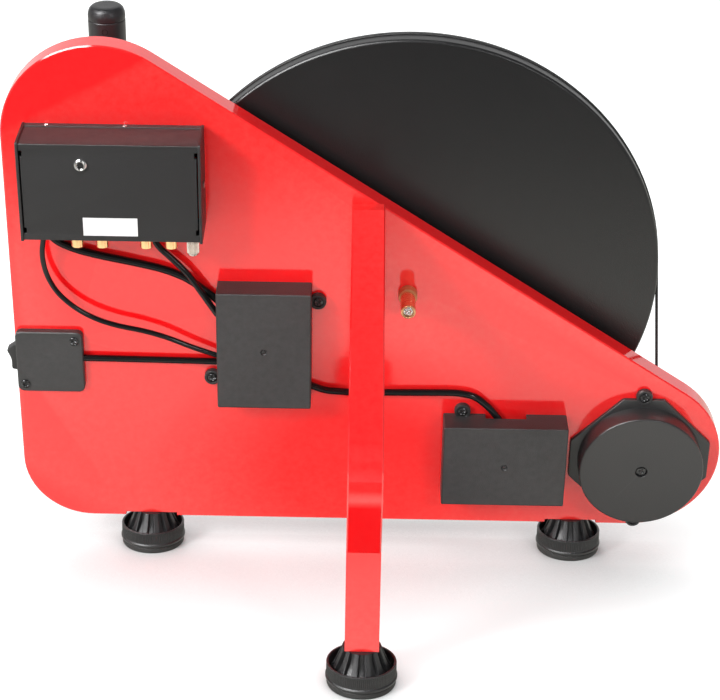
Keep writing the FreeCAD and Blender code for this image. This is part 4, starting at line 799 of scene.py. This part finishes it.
cover_spots = [(-144.8, 2.5, -67.4), (-144.8, 2.5, -156.6), (52.73, 2.6, -5.1),
               (115.88, 2.6, -58.2), (-35.4, 2.6, -79.46), (-87.4, 2.6, -140.94),
               (198.1, 4.6, -33.8), (228.7, 4.6, -63.8)]
cap_spot = [(-144.8, 15.3, -112)]
build("cover_screws_cross", "base", screw_black,
      joined(*screws(cover_spots, BACK, 2.75, 1.55, 1.5, 9.9),
             *screws(cap_spot, BACK, 2.75, 0.85, 1.5, 4)),
      stands_for=("cover_screws",))
front_spots = [(0, -18, 13), (-11.26, -18, -6.5), (11.26, -18, -6.5), (178, -21, 100.5),
               (163.28, -21, 75), (192.72, -21, 75)]
build("face_screws_cross", "base", screw_black,
      joined(*screws(front_spots, FRONT, 2.75, 1.55, 1.5, 9.9)),
      stands_for=("face_screws",))
build("box_screws_cross", "base", screw_zinc,
      joined(*screws([(206.9, 2.4, 105.6), (162.4, 2.4, 105.6)], UP, 1.28, 0.78, 1, 4.9),
             *screws([(220.9, 14, 75.75)], LEFT, 1.95, 1.15, 1.4, 1.5),
             *screws([(117.9, 14, 75.75)], RIGHT, 1.95, 1.15, 1.4, 1.5)),
      stands_for=("box_screws",))
print("screws", len(cover_spots) + len(cap_spot) + len(front_spots) + 4)

# %% [markdown]
# ## The cap over the motor
# A deep round cap stands on a flat eight-sided flange with a screw ear above and below.
# Its rim is rounded, and the round is what draws the thin bright line along its top. The
# cap is one lathe profile, from the flange up the wall, over the rim and into the dish.

# %% Motor cap
EAR_UP = 44.6
cap_profile = soften([(37.6, 2.2), (37.6, 16.5), (3.7, 16.5), (3.5, 13.9), (2.1, 13.9),
                      (2.0, 15.4), (0.02, 15.4)], [0, 1.3, 0.3, 0.2, 0.2, 0.3, 0], 6)
flange_side, flange_corner = 42.6, 12.5
eight = [(flange_side, -flange_corner), (flange_side, flange_corner),
         (flange_corner, flange_side), (-flange_corner, flange_side),
         (-flange_side, flange_corner), (-flange_side, -flange_corner),
         (-flange_corner, -flange_side), (flange_corner, -flange_side)]
flange = slab(soften(eight, 0.8, 3, closed=True), 0.0, 2.5, 0.05, 0.5, steps=3)
ear = turned([(4.95, 0.02), (4.95, 2.5), (0.02, 2.5)], [0, 0.5, 0], 4, 48)
ears = [moved(ear, None, (0, 0, up)) for up in (EAR_UP, -EAR_UP)]
ear_collar = turned([(4.7, 2.4), (4.7, 3.3), (3.6, 3.3), (3.4, 2.5)], [0, 0.35, 0.3, 0],
                    4, 48)
ear_collars = [moved(ear_collar, None, (0, 0, up)) for up in (EAR_UP, -EAR_UP)]
cap_wall = lathe(cap_profile, 160)
build("motor_cap", "base", cap_moulding,
      moved(joined(cap_wall, flange, *ears, *ear_collars), None, MOTOR_AXIS),
      stands_for=("motor_cover",))
print("cap height", cap_profile[:, 1].max(), "mm")

# %% [markdown]
# ## Collars and dimples on the two square covers
# The square covers are plain solids with soft edges already. What they lack is what a
# mould adds: a raised collar round each screw, and a sink mark with a pin's witness in
# the middle of the back.

# %% Collars and dimples
def collar(spot, inner=3.3, outer=4.85, rise=0.9, base=2.55):
    """A low ring round a screw, from just inside the cover to `rise` above its foot."""
    profile = soften([(outer, base - 0.5), (outer, base + rise), (inner, base + rise),
                      (inner - 0.2, base - 0.1)], [0, 0.4, 0.35, 0], 4)
    return moved(lathe(profile, 56), None, (spot[0], 0, spot[2]))


def dimple(x, y, z):
    """A mark 4.5 mm across: a ring sunk by 0.74 mm round a lower bead."""
    profile = [(2.25, 0.02), (2.05, 0.05), (1.9, -0.25), (1.62, -0.62), (1.3, -0.74),
               (1.2, -0.5), (0.9, -0.34), (0.5, -0.28), (0.02, -0.26)]
    return moved(turned(profile, 0.12, 3, 40), None, (x, y, z))


build("cover_collars", "base", moulding,
      joined(*[collar(spot) for spot in cover_spots[2:6]],
             dimple(84.3, 16.5, -32.4), dimple(-61.4, 17.2, -110.2)))
print("collars", len(cover_spots[2:6]))

# %% [markdown]
# ## The signal box
# A sheet-metal box: a back panel folded into a top and a bottom, between two end plates
# that stand a little proud. The panel stops short of the plates, which leaves a dark slit
# with a wider notch at each end. The panel is a slab whose outline has those notches, so
# the slits are real gaps with the dark inside behind them.

# %% Signal box
box_centre, box_half = 169.4, 49.9
box_low, box_high, box_back, sheet = 45.9, 105.6, 28.0, 1.4
slit, notch_wide = 0.75, 1.9
half_panel = [(box_half, 0.0), (box_half, 4.4), (box_half - notch_wide, 4.4),
              (box_half - notch_wide, 7.6), (box_half - slit, 7.6),
              (box_half - slit, 52.0), (box_half - notch_wide, 52.0),
              (box_half - notch_wide, 55.4), (box_half, 55.4),
              (box_half, box_high - box_low)]
other_half = [(-x, z) for x, z in reversed(half_panel)]
panel_outline = np.array(half_panel + other_half) + [box_centre, box_low]
panel = slab(panel_outline, box_back - sheet, box_back, 0.02, 0.55, steps=5)
swap_to_x = np.array([[0, 1, 0], [1, 0, 0], [0, 0, 1]])


def strip(low_y, high_y, low_z, high_z, round_by=0.25):
    """A bar along the box: a (y, z) rectangle with soft corners, carried along X."""
    outline = soften([(low_y, low_z), (high_y, low_z), (high_y, high_z), (low_y, high_z)],
                     round_by, 3, closed=True)
    bar = slab(outline, box_centre - box_half, box_centre + box_half, 0.02, 0.02, steps=1)
    return moved(bar, swap_to_x)


top_sheet = strip(0.0, box_back - 0.4, box_high - sheet, box_high)
low_sheet = strip(0.0, box_back - 0.4, box_low, box_low + sheet)
top_rail = strip(0.0, 4.2, box_high - 0.3, box_high + 0.42, 0.3)
low_rail = strip(0.0, 1.6, box_low - 0.4, box_low + 0.3, 0.3)
build("box_panels", "base", box_paint,
      joined(panel, top_sheet, low_sheet, top_rail, low_rail),
      stands_for=("box_shell",))

plate_outline = soften([(0, 45.1), (28.8, 45.1), (28.8, 106.4), (0, 106.4)],
                       [0.3, 1.1, 1.1, 0.3], 4, closed=True)
plates = [moved(slab(plate_outline, low_x, low_x + 1.6, 0.35, 0.35, steps=3), swap_to_x)
          for low_x in (box_centre - 51.5, box_centre + box_half)]
build("box_end_plates_folded", "base", box_paint, joined(*plates),
      stands_for=("box_end_plates",))
print("box width", 2 * box_half, "mm")

# %% [markdown]
# ## Sockets, post and jack
# Under the box hang four gilt phono sockets: a washer, a hex nut, the barrel with its
# rounded lip, and inside it a white insulator round a dark hole. A lathe gives all of it;
# the nut is the same lathe with a ripple, which takes the radius to a hexagon's side at
# angle a: r cos(30) / cos((a mod 60) - 30).

# %% Sockets and jack
socket_out, box_floor = 16.5, 45.9
socket_x = [190.5, 176.2, 151.1, 136.8]
down_turn = turn_to(DOWN)
nut_radius = 4.12


def hex_ripple(corner_radius, rows):
    """Takes chosen rows of a lathe from a circle to a hexagon of that corner radius."""
    def ripple(angle, row):
        side = corner_radius * math.cos(math.pi / 6)
        hexagon = side / np.cos(np.mod(angle, np.pi / 3) - np.pi / 6)
        return np.where(np.isin(row, rows), hexagon - corner_radius, 0.0)
    return ripple


washer = turned([(3.2, 0.0), (4.1, 0.05), (4.1, 0.75), (3.2, 0.85)], 0.2, 3, 60)
nut = lathe([(3.0, 0.8), (nut_radius, 0.95), (nut_radius, 2.9), (3.0, 3.1)], 96,
            hex_ripple(nut_radius, [1, 2]))
barrel = turned([(3.7, 2.9), (3.7, 8.9), (2.9, 8.9), (2.9, 8.2)], [0, 0.7, 0.25, 0], 5, 60)
insulator = turned([(2.95, 8.25), (2.05, 8.45), (1.95, 8.25)], 0.1, 2, 48)
eyelet = turned([(2.0, 8.35), (1.72, 8.6), (1.6, 8.3), (1.55, 1.0), (0.02, 1.0)],
                [0, 0.1, 0.1, 0.2, 0], 3, 40)


def hung(one, x):
    """A piece turned to point down and set under the box at `x`."""
    return moved(one, down_turn, (x, socket_out, box_floor))


build("phono_sockets_gilt", "base", gold,
      joined(*[hung(joined(washer, nut, barrel, eyelet), x) for x in socket_x]),
      stands_for=("phono_sockets",))
build("phono_insulators", "base", terminal_nylon,
      joined(*[hung(insulator, x) for x in socket_x]))

# %% [markdown]
# The ground post carries a knurled nut. A straight knurl of n teeth is a ripple on the
# radius, -depth (1 - |cos(n a / 2)|) at angle a, that stops at the two smooth collars. The
# jack is a ring with a bright rolled lip round a hole so deep that it is simply black.

# %% Ground post and jack
def knurl(teeth, depth, rows):
    """-depth (1 - |cos(teeth a / 2)|) on the chosen rows of a lathe."""
    def ripple(angle, row):
        tooth = -depth * (1 - np.abs(np.cos(angle * teeth / 2)))
        return np.where(np.isin(row, rows), tooth, 0.0)
    return ripple


post_x = 124.4
nut_profile = [(2.06, 1.6), (3.1, 1.6), (3.5, 1.9), (3.5, 3.0), (3.3, 3.2), (3.58, 3.45),
               (3.58, 6.0), (3.58, 9.2), (3.58, 11.7), (3.3, 11.95), (3.1, 12.9), (2.06, 12.9)]
build("ground_nut_knurled", "ground_nut", nickel,
      hung(lathe(nut_profile, 216, knurl(36, 0.28, [5, 6, 7, 8])), post_x),
      stands_for=("ground_nut",))
post_profile = soften([(2.0, -5.0), (2.0, 14.0), (0.02, 14.0)], [0, 0.5, 0], 4)
build("ground_post_rod", "base", nickel,
      hung(joined(lathe(post_profile, 48),
                  turned([(2.0, 0.0), (4.2, 0.0), (4.2, 0.8), (2.0, 1.3)], 0.2, 3, 48)),
           post_x),
      stands_for=("ground_post",))

jack_spot = (184.9, 28.0, 93.3)
lip = soften([(3.78, 0.02), (3.78, 0.7), (3.0, 1.58), (2.3, 1.58), (1.9, 1.1), (1.85, -2.0)],
             [0, 0.3, 0.4, 0.3, 0.3, 0], 5)
build("jack_ring", "base", jack_nickel, moved(lathe(lip, 72), None, jack_spot),
      stands_for=("jack_socket",))
well = soften([(1.86, 0.75), (1.62, 0.5), (1.6, -9.0), (0.02, -9.0)], [0, 0.1, 0.2, 0], 3)
build("jack_well", "base", jack_black, moved(lathe(well, 40), None, jack_spot))
print("sockets", len(socket_x))

# %% [markdown]
# ## Leads
# Five black leads cross the back of the board. Each is a circle carried along a smooth
# path: the route's corners become quadratic arcs that run into each other, which is a
# quadratic B-spline, and the ring at each point is spanned by the board's normal and the
# cross product of that normal with the path. Their jackets are soft and shiny.

# %% Leads
WHOLE_SIDE = 200.0  # longer than any side, so each arc takes as much of it as it may


def swept(route, radius, columns=18, steps=9):
    """A tube and its length: P(s) + radius (cos a B(s) + sin a N(s)) on the soft route.

    B lies beside the path, in the board's plane, and N points out of the board.
    """
    path = soften(route, WHOLE_SIDE, steps)
    along = np.gradient(path, axis=0)
    along /= np.linalg.norm(along, axis=1)[:, None]
    beside = np.cross(along, np.array([0.0, 1.0, 0.0]))
    beside /= np.linalg.norm(beside, axis=1)[:, None]
    out = np.cross(beside, along)
    angle = np.arange(columns) / columns * 2 * np.pi
    grid = (path[:, None, :] + radius * (np.cos(angle)[None, :, None] * beside[:, None, :]
                                         + np.sin(angle)[None, :, None] * out[:, None, :]))
    return shell(grid), float(np.linalg.norm(np.diff(path, axis=0), axis=1).sum())


lead_routes = {
    "signal_lead_thin": (1.55, [
        (209.8, 9.5, 46.4), (213.2, 9.2, 27), (211.4, 8.6, 13.5), (206, 8.3, 1.6),
        (196.6, 8.2, -8.2), (184.6, 8.2, -15.9), (171.2, 8, -20.6), (156.6, 7.6, -23.6),
        (142.4, 7, -28.3), (128.3, 6, -35.2), (111.6, 5, -41.9)]),
    "signal_lead_thick": (2.3, [
        (214.4, 3.4, 46.6), (206.6, 3.2, 33.4), (194.4, 3.1, 27.4), (179.4, 3, 23.4),
        (161, 2.9, 19.6), (143.5, 2.8, 15.4), (130.2, 2.9, 9.8), (120.6, 2.9, 2.6),
        (111.6, 3, -5.4)]),
    "arm_lead": (1.9, [
        (151.7, 4, 46.5), (147, 4.2, 31.8), (137.6, 5, 23.2), (128, 6.6, 13.4),
        (120.2, 7.8, 1.4), (111.8, 8.4, -11.7)]),
    "switch_lead": (2.0, [(193.6, 2.3, -46.4), (150, 2.3, -46.8), (111.6, 2.3, -47.3)]),
    "motor_lead": (2.1, [
        (56.9, 2.4, -62.7), (48.6, 2.7, -66), (33.8, 2.5, -67.2), (0, 2.5, -66.7),
        (-31.6, 2.5, -66.2), (-42.6, 2.7, -68.4), (-51.6, 2.8, -76.4), (-57.6, 2.6, -84.6)]),
}
for name, (radius, route) in lead_routes.items():
    tube, length = swept(np.array(route, float), radius)
    build(name + "_jacket", "base", jacket, tube, stands_for=(name,))
    print(name, "length", round(length, 1), "mm")

# %% [markdown]
# ## Feet
# A levelling foot is a shallow cup that a hand turns by its rim. The rim has a fine
# straight knurl between two smooth lips. Inside it a cone rises to the stud, with deep
# flutes between broad ribs: a ripple on the cone's radius that is deepest half way up.

# %% Feet
def smooth_step(value):
    """t^2 (3 - 2t), with t held between 0 and 1."""
    value = np.clip(value, 0, 1)
    return value * value * (3 - 2 * value)


foot_spots = {"left": (156.3, -31.09), "right": (-106.2, -31.09), "rear": (24.0, 134.9)}
up_turn = turn_to(UP)
ring_profile = [(17.6, 4.35), (20.0, 4.35), (20.1, 4.6), (20.1, 5.5), (19.7, 5.9),
                (19.45, 6.2), (19.58, 6.5), (19.58, 9.6), (19.58, 12.6), (19.42, 12.9),
                (19.6, 13.15), (19.45, 13.6), (19.1, 13.8), (18.5, 13.75), (18.2, 13.4),
                (18.1, 10.0), (18.1, 7.6)]
rim = lathe(ring_profile, 440, knurl(110, 0.42, [6, 7, 8]))
cone_heights = np.linspace(0, 1, 22)
cone_radius = 18.2 - 7.5 * cone_heights ** 0.82
cone_profile = np.stack([cone_radius, 7.5 + 15.8 * cone_heights], 1)
FLUTES, FLUTE_DEPTH = 12, 3.0


def flutes(angle, row):
    """-depth sin(pi (0.92 t + 0.04))^0.6 s((cos(n a) + 0.25) / 0.6) on the cone's radius.

    t is the share of the cone's height, n the number of flutes, s the smooth step.
    """
    deep = FLUTE_DEPTH * np.sin(np.pi * (cone_heights[row] * 0.92 + 0.04)) ** 0.6
    return -deep * smooth_step((np.cos(angle * FLUTES) + 0.25) / 0.6)


fluted = lathe(cone_profile, 432, flutes)
seat = turned([(10.7, 23.3), (3.05, 23.4), (3.0, 33.6), (0.02, 33.9)],
              [0, 0.3, 0.3, 0], 3, 48)
pad_profile = soften([(0.02, 0.0), (18.9, 0.0), (19.4, 0.9), (19.4, 3.2), (19.1, 3.5),
                      (19.1, 4.3)], [0, 0.6, 0.5, 0.2, 0.2, 0], 4)
pad = lathe(pad_profile, 96)
for side, (x, y) in foot_spots.items():
    build(f"foot_{side}_rim_and_cone", f"foot_{side}", cup_moulding,
          moved(joined(rim, fluted, seat), up_turn, (x, y, 0)), on_floor,
          stands_for=(f"foot_{side}_cup",))
    build(f"foot_{side}_rubber", f"foot_{side}", rubber, moved(pad, up_turn, (x, y, 0)),
          on_floor, stands_for=(f"foot_{side}_pad",))
print("feet", len(foot_spots))

# %% [markdown]
# ## The main bearing
# Where the platter's shaft comes through the board, a brass sleeve shows, with a domed nut
# at its foot. The sleeve's end has a rolled lip, and in it sits the bright end plug with a
# cross slot. All of it is lathe work about the platter's axis.

# %% Bearing
sleeve_profile = soften([(17.0, -17.9), (17.0, -15.1), (4.4, -15.1), (4.4, 5.0), (4.4, 21.4),
                         (4.35, 22.3), (4.0, 22.68), (3.5, 22.68), (3.25, 22.2),
                         (3.25, 19.5)], [0, 0.5, 0.1, 0.1, 0.1, 0.25, 0.2, 0.15, 0.15, 0], 4)
flange_face = turned([(3.3, -18.0), (16.6, -18.0), (17.0, -17.6), (17.0, -15.1)],
                     [0, 0.3, 0.2, 0], 3, 120)
build("bearing_sleeve_turned", "base", brass,
      joined(lathe(sleeve_profile, 96), flange_face),
      stands_for=("bearing_sleeve",))
nut_dome = soften([(4.42, 0.02), (5.68, 0.02), (5.68, 2.2), (5.5, 2.4), (5.6, 2.7),
                   (5.6, 4.7), (5.0, 5.45), (4.42, 5.48)],
                  [0, 0.1, 0.2, 0.15, 0.15, 0.5, 0.3, 0], 4)
build("bearing_locknut_turned", "base", nut_brass, lathe(nut_dome, 96),
      stands_for=("bearing_locknut",))
plug_head = moved(screw_shape(3.1, 1.5, 2.4, 1.5, 0.9), None, (0, 20.6, 0))
ball_radius, ball_height = 2.49, 16.6
polar = np.linspace(0, np.pi, 17)
thrust_ball = lathe(np.stack([np.maximum(ball_radius * np.sin(polar), 0.02),
                              ball_height - ball_radius * np.cos(polar)], 1), 32)
build("bearing_plug", "base", bearing_steel, joined(plug_head, thrust_ball),
      stands_for=("bearing_end",))
print("bearing stands", sleeve_profile[:, 1].max(), "mm out of the board")

# %% [markdown]
# ## The platter
# A heavy disc. Its back is flat out to a small round, then comes a groove for the belt and
# a second round at the front, so the rim draws two dark lines and a light one. The mat on
# its front is felt, with a recess for a record's label.

# %% Platter and mat
platter_profile = soften([(8.0, -23.7), (20.0, -23.7), (148.9, -23.7), (150.0, -24.8),
                          (150.0, -31.8), (148.85, -32.7), (148.85, -34.1), (150.0, -35.0),
                          (150.0, -37.4), (149.1, -38.3), (147.5, -38.3), (3.6, -38.3)],
                         [0, 0, 0.7, 0.7, 0.3, 0.3, 0.3, 0.3, 0.5, 0.5, 0.2, 0], 5)
platter_boss = soften([(8.0, -23.7), (8.0, -14.0), (3.7, -13.75)], [0, 0.6, 0], 4)
build("platter_disc", "platter", platter_skin,
      joined(lathe(platter_profile, 360), lathe(platter_boss, 64)),
      stands_for=("platter",))
mat_profile = soften([(147.4, -38.25), (147.5, -39.0), (147.3, -40.2), (146.4, -40.3),
                      (53.2, -40.3), (52.4, -39.6), (51.6, -39.5), (3.65, -39.5),
                      (3.6, -38.4)], [0, 0.3, 0.4, 0.3, 0.3, 0.3, 0.3, 0.2, 0], 4)
build("platter_mat_felt", "platter", felt, lathe(mat_profile, 240),
      stands_for=("platter_mat",))
print("platter radius", platter_profile[:, 0].max())

# %% [markdown]
# ## The clamp and the spindle
# The clamp is a knurled grip on a wide foot. The spindle ends in a small cone that guides
# a record's hole.

# %% Clamp
clamp_foot = [(3.7, -40.62), (20.3, -40.62), (20.95, -41.2), (20.95, -43.9), (20.4, -44.6),
              (17.6, -45.9)]
clamp_grip_rows = [(17.0, -46.3), (17.0, -46.6), (17.0, -49.0), (17.0, -51.3), (16.9, -51.6)]
clamp_top = [(16.4, -52.3), (15.4, -52.58), (9.0, -52.58), (8.2, -52.2), (4.4, -52.2),
             (3.7, -52.0)]
clamp_profile = clamp_foot + clamp_grip_rows + clamp_top
build("record_clamp_knurled", "clamp", clamp_anodised,
      lathe(clamp_profile, 360, knurl(60, 0.6, [7, 8, 9])),
      stands_for=("record_clamp",))
print("clamp points", len(clamp_profile))

# %% [markdown]
# ## The pulley
# Two grooves for two speeds, between three thin flanges: one lathe profile.

# %% Pulley
pulley_profile = soften([
    (1.56, -25.75), (20.6, -25.75), (20.65, -27.1), (19.3, -27.9), (19.3, -29.6),
    (20.65, -30.4), (20.65, -31.6), (15.4, -31.75), (14.15, -32.4), (14.15, -34.4),
    (15.45, -35.2), (15.45, -36.45), (7.0, -36.45), (6.4, -36.1), (2.8, -36.1),
    (1.56, -36.2)], 0.22, 3)
build("motor_pulley_turned", "rotor", pulley_brass,
      moved(lathe(pulley_profile, 120), None, MOTOR_AXIS),
      stands_for=("motor_pulley",))
print("pulley radii", pulley_profile[:, 0].max(), pulley_profile[:, 0].min())

# %% [markdown]
# ## The tonearm
# The arm hangs in a yoke: a cross block with the tube below it and a stub above it, on
# which the counterweight slides. The weight is a black cylinder with a domed top and a
# grub screw low in its back.

# %% Counterweight and tube
arm_spot, GRUB_UP = (178.0, -59.0, 83.5), 58.6
weight_profile = soften([(3.6, 39.6), (10.2, 39.6), (10.9, 40.3), (10.9, 63.0), (10.6, 63.3),
                         (10.6, 63.8), (10.9, 64.1), (10.9, 66.8), (9.9, 69.8),
                         (8.1, 71.2), (5.9, 71.42), (0.02, 71.36)],
                        [0, 0.5, 0.5, 0.2, 0.1, 0.1, 0.2, 1.4, 1.2, 0.8, 0.4, 0], 5)
bore_profile = [(3.6, 39.6), (3.58, 68.4), (0.02, 68.5)]
build("counterweight_turned", "counterweight", weight_anodised,
      moved(joined(lathe(weight_profile, 96), lathe(bore_profile, 40)),
            up_turn, arm_spot), stands_for=("counterweight",))
grub = soften([(1.75, 0.05), (1.45, 0.02), (1.35, -0.6), (0.02, -0.9)], 0.1, 3)
build("counterweight_grub", "counterweight", jack_black,
      moved(lathe(grub, 32), None, (arm_spot[0], -48.1, arm_spot[2] + GRUB_UP)))
tube_top, tube_end = 6.0, -180.0
tube_profile = soften([(3.2, tube_top), (4.0, tube_top), (4.0, -4.0), (4.0, -174.0),
                       (3.95, -179.6), (3.7, tube_end), (3.2, tube_end), (3.2, tube_top)],
                      [0, 0.05, 0, 0, 0.1, 0.1, 0.05, 0], 3)
build("arm_tube_turned", "arm", tube_aluminium,
      moved(lathe(tube_profile, 72), up_turn, arm_spot),
      stands_for=("arm_tube",))
knob_profile = [(0.02, -2.4), (3.3, -2.4), (3.95, -2.9), (3.95, -3.4), (3.95, -6.4),
                (3.6, -7.1), (2.6, -7.28), (0.02, -7.2)]
build("antiskate_knob_knurled", "antiskate_knob", tube_aluminium,
      moved(joined(lathe(knob_profile, 200, knurl(40, 0.3, [3, 4])),
                   lathe([(0.02, 1.6), (1.5, 1.5), (1.5, -2.4)], 32)),
            None, (178.0, -19.0, 67.0)),
      stands_for=("antiskate_knob",))
print("arm dressed")

# %% [markdown]
# ## The power switch
# The rocker is a wedge with two lobes and a shallow valley between them. Its outline is
# drawn square to its pin and then tipped, because the switch rests to one side.

# %% Rocker
rocker_tip = math.radians(11)
tip_turn = np.array([[math.cos(rocker_tip), 0, math.sin(rocker_tip)], [0, 1, 0],
                     [-math.sin(rocker_tip), 0, math.cos(rocker_tip)]])
lobe = [(-2.5, -9.5), (0.5, -9.5), (6.9, -6.65), (6.9, -5.2), (5.7, 0), (6.9, 5.2),
        (6.9, 6.65), (0.5, 9.5), (-2.5, 9.5)]
rocker = slab(soften(lobe, [0.4, 0.8, 0.8, 0.8, 3, 0.8, 0.8, 0.8, 0.4], 4, closed=True),
              -6.8, -0.4, 0.4, 0.4, steps=3)
build("rocker_two_lobes", "power_rocker", moulding,
      moved(rocker, tip_turn, (231.5, 0, -48.7)),
      stands_for=("power_rocker",))
print("rocker tipped", round(math.degrees(rocker_tip)), "degrees")

# %% [markdown]
# ## The CAD solids that stay
# Where a solid already has the real shape, it only needs its finish. The board, the leg
# and the two square covers are such solids: flat faces, fine chamfers and fillets.

# %% Finishes on the solids
dress(lacquer, "plinth", "rear_leg")
dress(moulding, "wiring_cover", "supply_cover", "switch_housing")
dress(box_paint, "cue_bracket")
dress(insert_brass, "foot_inserts")
dress(screw_black, "leg_screws", "arm_pivot_screws")
dress(bushing_bronze, "bearing_bushes")
dress(bearing_steel, "platter_spindle")
dress(motor_steel, "motor", "motor_shaft")
dress(rubber, "motor_isolator")
dress(belt_rubber, "drive_belt")
dress(base_anodised, "arm_base", "arm_yoke", "arm_cross")
dress(tube_aluminium, "headshell")
dress(gloss_black, "arm_rest", "arm_clip", "cue_lift", "cue_lever", "cartridge")
dress(stylus_red, "stylus")
dress(label_film, "blank_label")
dress(circuit_green, "circuit_boards")
dress(terminal_nylon, "terminal_blocks")
print("solids that stay visible are dressed")
